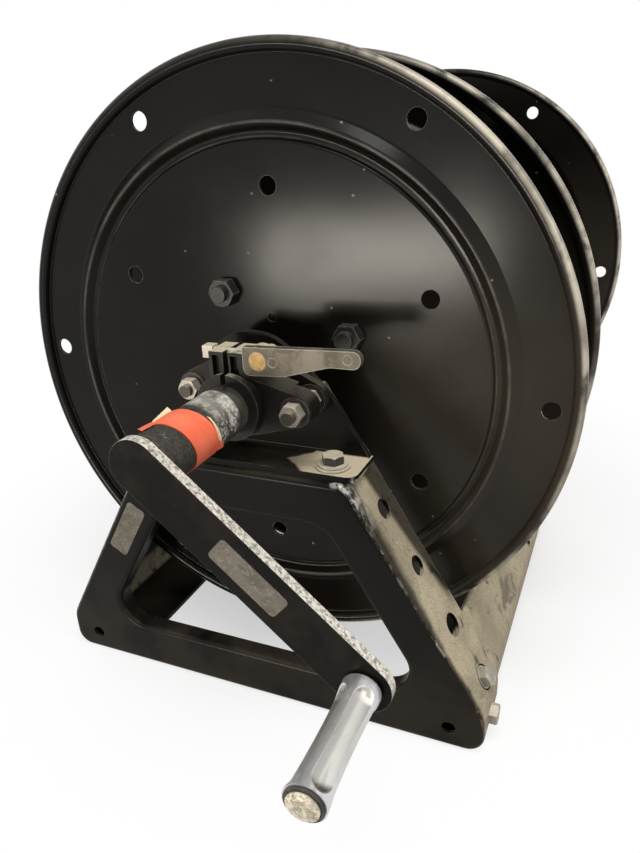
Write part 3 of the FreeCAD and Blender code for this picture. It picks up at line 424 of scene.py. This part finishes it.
def sheet_paint():
    """Satin black on folded sheet, grey-brown with dust on the outer sides, worn silver on the bends, where
    the pale line is also a painted highlight.
    """
    f = Finish("frame_black_paint")
    across, along, up = f.facing()
    broad = f.noise(16.0, 4.0, 0.6)
    patch = f.noise(60.0, 5.0, 0.62, 0.5)
    fine = f.noise(900.0, 5.0, 0.65)
    grit = f.noise(2300.0, 2.0, 0.5)
    width = abs(f.x)
    side = width * math.cos(LEG_ANGLE) + (f.z - AXIS_Z) * math.sin(LEG_ANGLE)
    inward = -FRAME_FACE_Y - abs(f.y)
    outer = side.ramp(0.0405, 0.0425).most(width.ramp(0.1800, 0.1830)) * abs(along).ramp(0.85, 0.45)
    fade = 0.006 + 0.013 * f.z.ramp(0.07, 0.17)
    front = ((inward + 0.007 * (patch - 0.5)) / fade).ramp(0.20, 1.0)
    behind = (inward - 0.033 - 0.16 * (0.179 - f.z)).ramp(-0.002, 0.006) * f.z.ramp(0.085, 0.115)
    scuff = f.noise(1.0, 4.0, 0.65, 0.8, f.stretched(60.0, 60.0, 24.0)).ramp(0.58, 0.68)
    rubbed = f.noise(26.0, 5.0, 0.68, 0.9).ramp(0.57, 0.66)
    film = outer * (0.62 + 0.38 * fine.ramp(0.35, 0.65)) * (0.72 + 0.28 * broad.ramp(0.38, 0.6))
    film = film * (1 - (0.70 * scuff).most(0.55 * rubbed)) * (0.10 + 0.90 * front) * (1 - 0.85 * behind)
    film = film * f.z.ramp(BRACKET_TOP_Z - 0.0026, BRACKET_TOP_Z - 0.0036)
    shelf = f.z.near(BRACKET_TOP_Z, 0.0035) * up.ramp(0.6, 0.9)
    shelf = shelf * (f.x + 0.012 * (patch - 0.5) - 0.9 * abs(f.y - SHELF_Y)).ramp(0.031, 0.036) * 0.95
    inside = (up.ramp(0.4, 0.95) * 0.05).most(0.018 * f.z.ramp(0.11, 0.03)) * broad.ramp(0.35, 0.6)
    layer = film.most(shelf).most(inside)
    # The bends are worn silver in scuffed streaks, and their pale line is also a painted highlight.
    bend = abs(along).near(0.74, 0.22) * abs(across).ramp(0.25, 0.45) * side.ramp(0.040, 0.042)
    corner = f.z.ramp(0.168, 0.202) * f.z.ramp(0.2118, 0.2108) * inward.ramp(0.019, 0.008)
    corner = corner * side.ramp(0.036, 0.039) * abs(along).ramp(0.96, 0.82)
    scratch = f.noise(1.0, 5.0, 0.65, 0.3, f.stretched(210.0, 210.0, 90.0))
    edge = f.edges(0.0012).ramp(0.04, 0.25) * up.ramp(-0.1, 0.5)
    worn = bend * scratch.ramp(0.44, 0.64) * patch.ramp(0.40, 0.60) * 0.45
    worn = worn.most(corner * scratch.ramp(0.42, 0.62) * 0.75).most(edge * patch.ramp(0.42, 0.62) * 0.5)
    paint = f.mix(layer.least(1.0), (0.0080, 0.0070, 0.0058), (0.60, 0.51, 0.355))
    paint = f.mix(worn.least(1.0), paint, (0.66, 0.635, 0.575))
    rough = 0.22 + 0.08 * broad + 0.05 * fine + 0.50 * layer
    return f.surface(
        colour=paint, rough=rough.least(0.9), metal=0.45 * worn, specular=0.085,
        normal=f.bump(fine * 0.4 + grit * layer * 0.6 + scratch * worn, 0.00010),
    )


def casting():
    """Black sand casting, grainy, with a cream layer of dust on what faces up."""
    f = Finish("black_casting")
    up = f.facing_up()
    broad = f.noise(60.0, 4.0, 0.6)
    grain = f.noise(900.0, 5.0, 0.65)
    edge = f.edges(0.0014).ramp(0.03, 0.22)
    high = (f.z + 0.006 * broad).ramp(0.281, 0.290)
    layer = up.ramp(0.45, 0.95) * (0.10 + 0.85 * high) * broad.ramp(0.30, 0.45)
    bare = edge * broad.ramp(0.40, 0.60) * (0.25 + 0.5 * up.ramp(-0.2, 0.6))
    body = f.mix(layer.least(1.0), (0.0105, 0.0088, 0.0072), (0.56, 0.485, 0.35))
    body = f.mix(bare.least(1.0), body, (0.34, 0.31, 0.26))
    rough = 0.36 + 0.20 * grain + 0.25 * layer
    return f.surface(
        colour=body, rough=rough.least(0.95), specular=0.16, normal=f.bump(grain, 0.00012),
    )


def lever_casting():
    """The plain lever: dull cast metal, brighter where the hand rubs it, with a painted highlight along its
    edges, strongest on the upper ones.
    """
    f = Finish("plain_lever_casting")
    up = f.facing_up()
    cloud = f.noise(75.0, 4.0, 0.6, 0.4)
    grain = f.noise(620.0, 4.0, 0.65)
    edge = f.edges(0.0012).ramp(0.03, 0.20)
    rubbed = f.x.near(LEVER_HAND_X, 0.030) * cloud.ramp(0.36, 0.60)
    body = f.mix(cloud.ramp(0.34, 0.66), (0.072, 0.063, 0.046), (0.112, 0.099, 0.075))
    body = f.mix(rubbed * 0.6, body, (0.20, 0.18, 0.143))
    # Painted highlight along the edges, strongest on those that face up.
    body = f.mix((edge * (0.45 + 0.55 * up.ramp(-0.4, 0.6))).least(1.0), body, (0.62, 0.58, 0.49))
    dusty = up.ramp(0.5, 0.9) * f.y.ramp(LEVER_FACE_Y - 0.0005, LEVER_FACE_Y + 0.0005)
    body = f.mix(dusty * 0.9, body, (0.52, 0.45, 0.33))
    rough = 0.34 + 0.16 * grain + 0.3 * dusty
    return f.surface(
        colour=body, rough=rough, metal=0.2 * (1 - dusty), specular=0.18, normal=f.bump(grain, 0.00007),
    )


def hardware(name, plate, dirt_and_shade_colour, dirt, metal, dust, sides=0.35):
    """Plated steel gone dull, with dirt in patches, painted shade on its sides and on what faces down, and
    dust on what faces up.
    """
    f = Finish(name)
    up = f.facing_up()
    patch = f.noise(120.0, 5.0, 0.62, 0.4)
    fine = f.noise(1400.0, 3.0, 0.6)
    edge = f.edges(0.0009).ramp(0.03, 0.22)
    # Painted shade: faces that look down, and upright sides as far as sides asks, go towards the darker
    # colour; the patches are real dirt.
    low = up.ramp(0.15, -0.45)
    upright_shade = up.ramp(0.55, 0.10) * sides
    dirt_and_shade = ((patch.ramp(0.36, 0.62) * dirt).most(low * 0.9).most(upright_shade) - 0.45 * edge).most(0.0)
    layer = up.ramp(0.55, 0.95) * dust * (0.6 + 0.4 * patch.ramp(0.3, 0.5))
    body = f.mix(dirt_and_shade, plate, dirt_and_shade_colour)
    body = f.mix(layer.least(1.0), body, (0.58, 0.52, 0.39))
    body = f.mix((edge * 0.5 * patch.ramp(0.35, 0.6)).least(1.0), body, (0.78, 0.73, 0.62))
    rough = 0.26 + 0.26 * patch + 0.10 * fine + 0.2 * layer
    return f.surface(
        colour=body, rough=rough, metal=metal * (1 - dirt_and_shade.most(layer)), specular=0.35,
        normal=f.bump(fine + patch, 0.00004),
    )


def turned_steel():
    """Ground and turned steel with fine rings and faint stains."""
    f = Finish("turned_steel")
    rings = f.noise(1.0, 3.0, 0.6, 0.0, f.stretched(30.0, 2600.0, 30.0))
    stain = f.noise(70.0, 4.0, 0.6)
    body = f.mix(stain.ramp(0.45, 0.75) * 0.5, (0.46, 0.45, 0.43), (0.20, 0.16, 0.11))
    return f.surface(colour=body, rough=0.24 + 0.22 * rings, metal=0.95, normal=f.bump(rings, 0.00002))


def pitted_brass():
    """Old brass with the rings of its turning, brown in its pits."""
    f = Finish("pitted_brass")
    up = f.facing_up()
    pits = f.noise(620.0, 5.0, 0.65)
    stain = f.noise(150.0, 4.0, 0.6)
    body = f.mix(stain.ramp(0.36, 0.66), (0.30, 0.195, 0.068), (0.19, 0.115, 0.040))
    body = f.mix(pits.ramp(0.60, 0.72), body, (0.12, 0.07, 0.03))
    layer = up.ramp(0.55, 0.95) * 0.8
    body = f.mix(layer, body, (0.56, 0.48, 0.34))
    rough = 0.30 + 0.25 * pits + 0.2 * layer
    return f.surface(colour=body, rough=rough, metal=0.5 * (1 - layer), normal=f.bump(pits, 0.00008))


def crank_paint():
    """Black paint on the crank: chipped to cream along the arm's rim, and rubbed grey on the tube with a
    painted highlight along its top.
    """
    f = Finish("crank_black_paint")
    along, up = f.facing()[1:]
    patch = f.noise(85.0, 5.0, 0.65, 0.5)
    fine = f.noise(900.0, 4.0, 0.6)
    speck = f.noise(420.0, 4.0, 0.7)
    on_rim = abs(along).ramp(0.72, 0.30)
    on_arm = f.y.ramp(ARM_BACK_Y + 0.0006, ARM_BACK_Y - 0.0006)
    rim_wear = on_arm * on_rim * (0.55 + 0.45 * speck.ramp(0.36, 0.50)) * up.ramp(-0.5, 0.1)
    corner = on_arm * f.edges(0.0012).ramp(0.03, 0.25) * speck.ramp(0.38, 0.55) * 0.5
    by_brake = f.y.ramp(TUBE_DARK_Y, TUBE_GREY_Y)
    tube = (1 - on_arm) * on_rim
    # Grey near the brake: rubbed paint, and a painted highlight along the tube's top.
    grey = tube * by_brake * (0.14 + 0.80 * up.ramp(0.1, 0.9) * patch.ramp(0.28, 0.62))
    pale = tube * by_brake * patch.ramp(0.50, 0.58) * speck.ramp(0.40, 0.54) * 0.8
    flakes = patch.ramp(0.60, 0.68) * speck.ramp(0.50, 0.62)
    foot = tube * (1 - by_brake) * (0.045 + 0.08 * patch + 0.45 * flakes)
    smudge = f.noise(30.0, 4.0, 0.6).ramp(0.42, 0.70)
    paint = f.mix(smudge * 0.015, (0.0075, 0.0066, 0.0056), (0.42, 0.36, 0.28))
    paint = f.mix(grey.least(1.0), paint, (0.52, 0.485, 0.42))
    worn = rim_wear.most(corner).most(pale).most(foot).least(1.0)
    paint = f.mix(worn, paint, f.mix(speck.ramp(0.38, 0.62), (0.44, 0.40, 0.33), (0.80, 0.76, 0.67)))
    rough = 0.22 + 0.10 * smudge + 0.05 * fine + 0.20 * worn.most(grey)
    return f.surface(
        colour=paint, rough=rough, metal=0.2 * worn.most(grey), specular=0.065,
        normal=f.bump(fine * 0.4 + speck * worn, 0.00010),
    )


def grip_metal():
    """Cast aluminium handle: bright ridges, and flutes with painted shade along one side and a painted
    shadow in their end walls.
    """
    f = Finish("grip_aluminium")
    smear = f.noise(1.0, 5.0, 0.62, 0.6, f.stretched(120.0, 18.0, 120.0))
    patch = f.noise(70.0, 5.0, 0.6, 0.5)
    fine = f.noise(1300.0, 3.0, 0.6)
    across, along, up = f.facing()
    off_x = f.x - GRIP_X
    off_z = f.z - GRIP_Z
    off = (off_x * off_x + off_z * off_z) ** 0.5
    hollow = off.ramp(GRIP_RIDGE, GRIP_HOLLOW)
    end_wall_shadow = hollow * abs(along).ramp(0.12, 0.45) * f.y.ramp(GRIP_TIP_Y - 0.001, GRIP_TIP_Y)
    shaded_side = (up * off_x - across * off_z) / off
    body = f.mix(patch.ramp(0.35, 0.65), (0.60, 0.595, 0.61), (0.71, 0.70, 0.69))
    body = f.mix(hollow * (0.45 + 0.45 * patch), body, (0.66, 0.635, 0.56))
    # Painted shade along one side of each flute.
    body = f.mix(hollow * shaded_side.ramp(0.02, -0.45) * 0.6, body, (0.33, 0.32, 0.30))
    body = f.mix(smear.ramp(0.50, 0.68) * 0.5, body, (0.25, 0.24, 0.23))
    # Painted shadow in the steep wall at each flute's end.
    body = f.mix(end_wall_shadow * (0.45 + 0.55 * patch.ramp(0.40, 0.58)), body, (0.13, 0.11, 0.08))
    rough = 0.24 + 0.20 * smear + 0.06 * fine
    return f.surface(colour=body, rough=rough, metal=0.85, normal=f.bump(fine + smear, 0.00004))


def rubber():
    """Black rubber with a dusty bloom."""
    f = Finish("black_rubber")
    bloom = f.noise(160.0, 4.0, 0.6)
    fine = f.noise(1600.0, 3.0, 0.6)
    body = f.mix(bloom.ramp(0.45, 0.8) * 0.25, (0.018, 0.018, 0.018), (0.24, 0.22, 0.19))
    return f.surface(colour=body, rough=0.62 + 0.2 * bloom, normal=f.bump(fine, 0.00006))


def cloth_tape():
    """Red cloth tape: fine weave, rubbed pale on its folds, where the pale is also a painted highlight,
    with dark smudges.
    """
    f = Finish("red_cloth_tape")
    turn = f.node("ShaderNodeMath", {"operation": "ARCTAN2"}, {0: f.z - AXIS_Z, 1: f.x})
    weave = (f.y * 5200.0).wave()
    weft = (turn * 95.0).wave()
    crease = f.noise(1.0, 4.0, 0.6, 1.0, f.stretched(90.0, 260.0, 90.0))
    patch = f.noise(75.0, 4.0, 0.6)
    body = f.mix(patch.ramp(0.34, 0.66), (0.99, 0.225, 0.115), (0.96, 0.165, 0.080))
    # Folds rubbed pale, which also stands as a painted highlight.
    body = f.mix(crease.ramp(0.56, 0.72) * 0.35, body, (1.0, 0.34, 0.23))
    body = f.mix(patch.ramp(0.66, 0.82) * 0.5, body, (0.42, 0.05, 0.03))
    height = weave * 0.35 + weft * 0.25 + crease
    return f.surface(colour=body, rough=0.50 + 0.2 * crease, specular=0.22, normal=f.bump(height, 0.00022))


def torn_backing():
    """The yellowish backing that shows where the tape has torn."""
    f = Finish("torn_tape_backing")
    fleck = f.noise(420.0, 5.0, 0.65)
    body = f.mix(fleck.ramp(0.36, 0.64), (0.95, 0.80, 0.50), (0.84, 0.64, 0.36))
    return f.surface(colour=body, rough=0.75, normal=f.bump(fleck, 0.00020))


def battered_cap():
    """The grip bolt's head: bare metal beaten and pitted, cream with dirt in its dents."""
    f = Finish("battered_cap")
    dent = f.noise(230.0, 4.0, 0.6, 1.2)
    pits = f.noise(520.0, 4.0, 0.65, 0.6)
    body = f.mix(dent.ramp(0.36, 0.62), (0.30, 0.265, 0.20), (0.68, 0.62, 0.50))
    body = f.mix(pits.ramp(0.58, 0.68) * 0.85, body, (0.06, 0.05, 0.038))
    rough = 0.34 + 0.25 * pits
    return f.surface(colour=body, rough=rough, metal=0.35, normal=f.bump(dent + 0.4 * pits, 0.0010))


def bare_plate():
    """A thin bare metal plate, brushed along its length and a little scuffed."""
    f = Finish("bare_plate")
    brushed = f.noise(1.0, 4.0, 0.6, 0.0, f.stretched(180.0, 180.0, 1100.0))
    scuff = f.noise(110.0, 5.0, 0.65, 0.8)
    blot = f.noise(420.0, 3.0, 0.6)
    body = f.mix(scuff.ramp(0.42, 0.64) * 0.6, (0.135, 0.123, 0.102), (0.070, 0.063, 0.050))
    body = f.mix(blot.ramp(0.55, 0.66) * 0.35, body, (0.30, 0.28, 0.24))
    rough = 0.46 + 0.15 * brushed
    return f.surface(colour=body, rough=rough, metal=0.2, specular=0.2, normal=f.bump(brushed, 0.00002))


def friction_lining():
    """Woven friction material."""
    f = Finish("friction_lining")
    weave = f.specks(900.0)
    body = f.mix(weave.ramp(0.1, 0.6), (0.16, 0.13, 0.09), (0.06, 0.05, 0.04))
    return f.surface(colour=body, rough=0.85, normal=f.bump(weave, 0.0002))


ZINC = (0.50, 0.46, 0.38)
OLD_DIRT_AND_SHADE = (0.030, 0.025, 0.018)
FINISHES = {
    "black_frame": sheet_paint(),
    "black_drum": drum_paint(),
    "black_casting": casting(),
    "black_hardware": hardware(
        "black_hardware", (0.016, 0.0145, 0.012), (0.012, 0.011, 0.009), dirt=0.4, metal=0.1, dust=0.05
    ),
    "zinc_hardware": hardware(
        "zinc_hardware", ZINC, (0.045, 0.038, 0.028), dirt=0.35, metal=0.65, dust=0.9, sides=0.30
    ),
    "bearing_steel": turned_steel(),
    "shaft_steel": turned_steel(),
    "cast_lever": lever_casting(),
    "brass": pitted_brass(),
    "friction_lining": friction_lining(),
    "black_crank": crank_paint(),
    "grip_metal": grip_metal(),
    "bush_bronze": pitted_brass(),
    "black_rubber": rubber(),
    "red_tape": cloth_tape(),
    "plate_metal": bare_plate(),
    "pipe_steel": hardware(
        "plated_pipe", (0.42, 0.41, 0.38), (0.16, 0.13, 0.09), dirt=0.6, metal=0.7, dust=0.3
    ),
}
BACKING = torn_backing()
SLOT_OF = {row["node"]: row["material_slot"] for row in frame["record"]["subparts"]}
BODY_OF = {node: body for body, nodes in frame["record"]["behaviour"]["bodies"].items() for node in nodes}


def finish_with(piece, slot, body):
    """Give a new piece its finish and its body."""
    piece.data.materials.clear()
    piece.data.materials.append(FINISHES[slot])
    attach(piece, body)


for node, piece in frame["nodes"].items():
    piece.data.materials.clear()
    piece.data.materials.append(FINISHES[SLOT_OF[node]])


# Pressed flanges, with their bends rounded and their rims rolled


def drill_holes(piece, rim_y):
    """Cut the rings of holes through a flange."""
    cutters = []
    for circle, count, degrees, radius in HOLE_RINGS:
        for k in range(count):
            angle = math.radians(degrees + 360.0 * k / count)
            place = (circle * math.cos(angle), rim_y, AXIS_Z + circle * math.sin(angle))
            bpy.ops.mesh.primitive_cylinder_add(
                vertices=HOLE_SIDES, radius=radius, depth=DRILL_LENGTH, location=place,
                rotation=(math.pi / 2, 0, 0),
            )
            cutters.append(bpy.context.object)
    for cutter in cutters:
        cutter.select_set(True)
    bpy.ops.object.join()
    drill = bpy.context.object
    settle(drill)
    modify(piece, "BOOLEAN", operation="DIFFERENCE", solver="EXACT", object=drill)
    bpy.data.objects.remove(drill)


def pressed_flange(name, rim_y, outward, node):
    """A stamped disc: rings pressed in steps from a flat middle out to a round rolled rim."""
    depths = [
        (BORE, MIDDLE_DEPTH),
        (MIDDLE_RADIUS, MIDDLE_DEPTH),
        (GROOVE_INNER, GROOVE_DEPTH),
        (GROOVE_OUTER, GROOVE_DEPTH),
        (RIDGE_INNER, RIDGE_DEPTH),
        (RIDGE_OUTER, RIDGE_DEPTH),
        (BAND_RADIUS, BAND_DEPTH),
    ]
    front_y = RIM_RADIUS - BAND_DEPTH
    back_y = front_y - SHEET
    front_angle = 180.0 - math.degrees(math.asin(front_y / RIM_RADIUS))
    back_angle = -180.0 - math.degrees(math.asin(back_y / RIM_RADIUS))
    rim = arc((RIM_CIRCLE, 0.0), RIM_RADIUS, front_angle, back_angle, RIM_STEPS)
    outline = [(r, RIM_RADIUS - d) for r, d in depths]
    outline += rim
    outline += [(r, RIM_RADIUS - d - SHEET) for r, d in reversed(depths)]
    profile = [(r, rim_y + outward * y) for r, y in outline]
    piece = turned(name, profile, FLANGE_SIDES)
    modify(
        piece, "BEVEL", width=PRESS_BEND, segments=4, limit_method="ANGLE",
        angle_limit=BEND_FROM, use_clamp_overlap=True,
    )
    drill_holes(piece, rim_y)
    smooth(piece, 35)
    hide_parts(node)
    finish_with(piece, "black_drum", "drum")


pressed_flange("near_flange_pressed", NEAR_RIM_Y, -1, "near_flange")
pressed_flange("divider_flange_pressed", DIVIDER_RIM_Y, -1, "divider_flange")
pressed_flange("far_flange_pressed", FAR_RIM_Y, 1, "far_flange")

# Pieces that are dirtier, more worn, or more darkened by painted shade on their sides than the rest of
# their slot
OWN_FINISH = {
    "bracket_bolts": hardware(
        "bracket_bolt_zinc", ZINC, OLD_DIRT_AND_SHADE, dirt=0.3, metal=0.5, dust=1.0, sides=1.0
    ),
    "bearing_bolts": hardware(
        "dark_bolt_ends", (0.10, 0.085, 0.062), OLD_DIRT_AND_SHADE, dirt=0.5, metal=0.3, dust=0.4, sides=0.7
    ),
    "grip_bolt": battered_cap(),
}
# Pieces shown with rounded edges: (node, rounding, segments)
ROUNDED = [
    ("front_bearing_housing", 0.0022, 3),
    ("rear_bearing_housing", 0.0022, 3),
    ("brake_clamp", 0.0016, 3),
    ("brake_lever", 0.0014, 3),
    ("front_bracket", 0.0007, 2),
    ("rear_bracket", 0.0007, 2),
    ("crank_arm", 0.0006, 2),
    ("brake_draw_bolt", 0.0007, 2),
    ("bearing_nuts", 0.0003, 2),
    ("bearing_washers", 0.0003, 2),
    ("bracket_washers", 0.0003, 2),
    ("bracket_bolts", 0.0004, 2),
    ("bearing_bolts", 0.0004, 2),
    ("grip_bolt", 0.0004, 2),
    ("rail_bolts", 0.0004, 2),
    ("tie_nuts", 0.0004, 2),
    ("tie_rods", 0.0008, 2),
    ("crank_tube", 0.0010, 2),
    ("grip_end_ring", 0.0008, 3),
]
for node, width, segments in ROUNDED:
    finish_with(softened(node, width, segments), SLOT_OF[node], BODY_OF[node])
    if node in OWN_FINISH:
        bpy.data.objects[node + "_shown"].data.materials[0] = OWN_FINISH[node]

# Tape round the crank tube, with slanting torn edges and loose corners


def between(low, high, share):
    return low + (high - low) * share


def wrinkle(angle, seed):
    """A small uneven value from -1 to 1 that closes on itself round the tube."""
    waves = random.Random(seed)
    total = 0.0
    for turns in WRINKLE_TURNS:
        total += math.sin(turns * angle + waves.uniform(0, 2 * math.pi)) / turns**0.6
    return total / WRINKLE_REACH


def tape_band():
    """The lap of tape: a thin ring whose two edges slant, with creases in its outside."""
    bore = TUBE_RADIUS + TAPE_GAP
    outside = bore + TAPE_SHEET
    profile = [(bore, 0.0)] + [(outside, k / TAPE_ROWS) for k in range(TAPE_ROWS + 1)] + [(bore, 1.0)]
    piece = turned("tape_lap", profile, TAPE_SIDES)
    for vertex in piece.data.vertices:
        x, z = vertex.co.x, vertex.co.z - AXIS_Z
        angle = math.atan2(z, x)
        share = vertex.co.y
        swing = math.cos(angle - TAPE_HIGH_ANGLE)
        near = TAPE_NEAR + TAPE_NEAR_SWING * swing + TAPE_NEAR_RAGGED * wrinkle(angle, 3)
        far = TAPE_FAR + TAPE_FAR_SWING * swing + TAPE_FAR_RAGGED * wrinkle(angle, 8)
        out = between(near, far, share)
        radius = math.hypot(x, z)
        if radius > bore + TAPE_SHEET / 2:
            crease = 0.5 + 0.5 * wrinkle(angle + 9.0 * share, 5)
            radius += TAPE_CREASE * crease
        vertex.co = (radius * math.cos(angle), -HALF_SPAN - out, AXIS_Z + radius * math.sin(angle))
    return piece


def tape_corner(name, seed, low, high):
    """A loose corner of tape: a narrow strip that starts on the tube and stands off it to a torn tip.

    Its low and high ends are two corners each: (angle, distance out, height over the tape)."""
    bpy.ops.mesh.primitive_grid_add(x_subdivisions=10, y_subdivisions=6, size=1.0)
    piece = bpy.context.object
    piece.name = name
    for vertex in piece.data.vertices:
        along, across = vertex.co.x + 0.5, vertex.co.y + 0.5
        start = [between(low[0][k], low[1][k], across) for k in range(3)]
        end = [between(high[0][k], high[1][k], across) for k in range(3)]
        angle, out, height = [between(start[k], end[k], along) for k in range(3)]
        out += STRIP_RAGGED * wrinkle(1.6 * across, seed) * along
        height += STRIP_RIPPLE * wrinkle(1.2 * along + 0.8 * across, seed + 1) * along + STRIP_GAP
        radius = TUBE_RADIUS + STRIP_SEAT + height
        turn = math.radians(angle)
        vertex.co = (radius * math.cos(turn), -HALF_SPAN - out, AXIS_Z + radius * math.sin(turn))
    modify(piece, "SOLIDIFY", thickness=STRIP_SHEET, offset=0.0)
    smooth(piece, 60)
    return piece


tape = tape_band()
smooth(tape, 50)
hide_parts("tape_band")
finish_with(tape, "red_tape", "drum")

# Loose corners and torn slivers: (name, torn, seed, low end, high end)
LOOSE_CORNERS = [
    (
        "tape_far_flap", False, 11,
        ((98.0, 0.1505, 0.0001), (124.0, 0.1500, 0.0009)),
        ((104.0, 0.1650, 0.0003), (120.0, 0.1612, 0.0013)),
    ),
    (
        "tape_side_fray", False, 23,
        ((-6.0, 0.1205, 0.0), (-36.0, 0.1195, 0.0)),
        ((-17.0, 0.1160, 0.0014), (-26.0, 0.1158, 0.0020)),
    ),
    (
        "tape_torn_sliver", True, 31,
        ((113.0, 0.1296, 0.0002), (117.0, 0.1500, 0.0001)),
        ((122.0, 0.1272, 0.0034), (123.0, 0.1450, 0.0009)),
    ),
    (
        "tape_torn_edge", True, 37,
        ((46.0, 0.1222, 0.0), (-12.0, 0.1200, 0.0)),
        ((40.0, 0.1210, 0.0004), (-14.0, 0.1175, 0.0009)),
    ),
]
for name, torn, seed, low_end, high_end in LOOSE_CORNERS:
    strip = tape_corner(name, seed, low_end, high_end)
    finish_with(strip, "red_tape", "drum")
    if torn:
        strip.data.materials[0] = BACKING

# Floor and light

FLOOR_SIZE = 12.0
FLOOR_SEEN = (0.93, 0.93, 0.93)
FLOOR_BOUNCE = (0.22, 0.21, 0.20)
WHITE = (1.0, 1.0, 1.0, 1.0)
SKY_LEVEL = 0.30


def stage_floor():
    """A pale floor that keeps the reel's shadow near it and runs out to the white of the background."""
    bpy.ops.mesh.primitive_grid_add(x_subdivisions=2, y_subdivisions=2, size=FLOOR_SIZE)
    floor = bpy.context.object
    floor.name = "floor"
    f = Finish("pale_floor")
    away = (f.x * f.x + f.y * f.y) ** 0.5
    tone = f.mix(f.seen(BY_CAMERA), FLOOR_BOUNCE, FLOOR_SEEN)
    paper = f.node("ShaderNodeBsdfDiffuse", {}, {"Color": tone})
    white = f.node("ShaderNodeEmission", {}, {"Color": WHITE, "Strength": 1.0})
    share = f.seen(BY_ANY_VIEW) * away.ramp(-0.10, 0.55)
    mixed = f.node("ShaderNodeMixShader", {}, {0: share, 1: paper, 2: white})
    f.node("ShaderNodeOutputMaterial", {}, {"Surface": mixed}, None)
    floor.data.materials.append(f.material)


def white_world():
    """A soft even sky for the light, and plain white for what looks at it."""
    world = bpy.data.worlds.new("studio")
    bpy.context.scene.world = world
    sky = Nodes(world)
    level = SKY_LEVEL + sky.seen(BY_ANY_VIEW) * (1.0 - SKY_LEVEL)
    background = sky.node("ShaderNodeBackground", {}, {"Color": WHITE, "Strength": level})
    sky.node("ShaderNodeOutputWorld", {}, {"Surface": background}, None)


def softbox(name, place, aim, width, height, power, tint):
    """A large soft lamp that looks at a point."""
    lamp = bpy.data.lights.new(name, "AREA")
    lamp.shape = "RECTANGLE"
    lamp.size = width
    lamp.size_y = height
    lamp.energy = power
    lamp.color = tint
    holder = bpy.data.objects.new(name, lamp)
    bpy.context.scene.collection.objects.link(holder)
    holder.location = place
    holder.rotation_mode = "QUATERNION"
    holder.rotation_quaternion = (Vector(aim) - Vector(place)).to_track_quat("-Z", "Y")


NEUTRAL = (1.0, 1.0, 1.0)
WARM = (1.0, 0.93, 0.82)
# Lamps: (name, place, what it looks at, width, height, power, tint)
SOFTBOXES = [
    ("key", (0.5, -0.6, 2.2), (0.05, -0.1, 0.2), 1.3, 1.0, 30.0, NEUTRAL),
    ("low_front", (-0.26, -1.25, 0.178), (0.05, -0.25, 0.34), 0.46, 0.15, 7.0, WARM),
    ("side", (1.9, -0.5, 1.3), (0.1, 0.0, 0.2), 1.0, 1.2, 14.0, NEUTRAL),
]
stage_floor()
white_world()
for settings in SOFTBOXES:
    softbox(*settings)

# Camera

AZIMUTH = math.radians(24.748)
PITCH = math.radians(25.2215)
ROLL = math.radians(-2.908)
PHOTO_WIDTH = 640
PHOTO_HEIGHT = 853
FOCAL_PIXELS = 716.66
CENTRE_PIXELS = (310.246, 462.222)
CAMERA_PLACE = (0.2455, -0.72695, 0.4333)
SENSOR_WIDTH = 36.0
NEAREST_SEEN = 0.02


def photo_camera():
    """The camera at the photograph's place and angle."""
    ahead = Vector(
        (-math.sin(AZIMUTH) * math.cos(PITCH), math.cos(AZIMUTH) * math.cos(PITCH), -math.sin(PITCH))
    )
    level = Vector((math.cos(AZIMUTH), math.sin(AZIMUTH), 0))
    rise = level.cross(ahead)
    right = level * math.cos(ROLL) + rise * math.sin(ROLL)
    up = rise * math.cos(ROLL) - level * math.sin(ROLL)
    data = bpy.data.cameras.new("photo_camera")
    camera = bpy.data.objects.new("photo_camera", data)
    bpy.context.scene.collection.objects.link(camera)
    turn = Matrix((right, up, -ahead)).transposed().to_4x4()
    camera.matrix_world = Matrix.Translation(CAMERA_PLACE) @ turn
    data.sensor_width = SENSOR_WIDTH
    data.lens = FOCAL_PIXELS / PHOTO_HEIGHT * data.sensor_width
    data.shift_x = (PHOTO_WIDTH / 2 - CENTRE_PIXELS[0]) / PHOTO_HEIGHT
    data.shift_y = (CENTRE_PIXELS[1] - PHOTO_HEIGHT / 2) / PHOTO_HEIGHT
    data.clip_start = NEAREST_SEEN
    bpy.context.scene.camera = camera


photo_camera()
bpy.context.scene.view_settings.view_transform = "Standard"
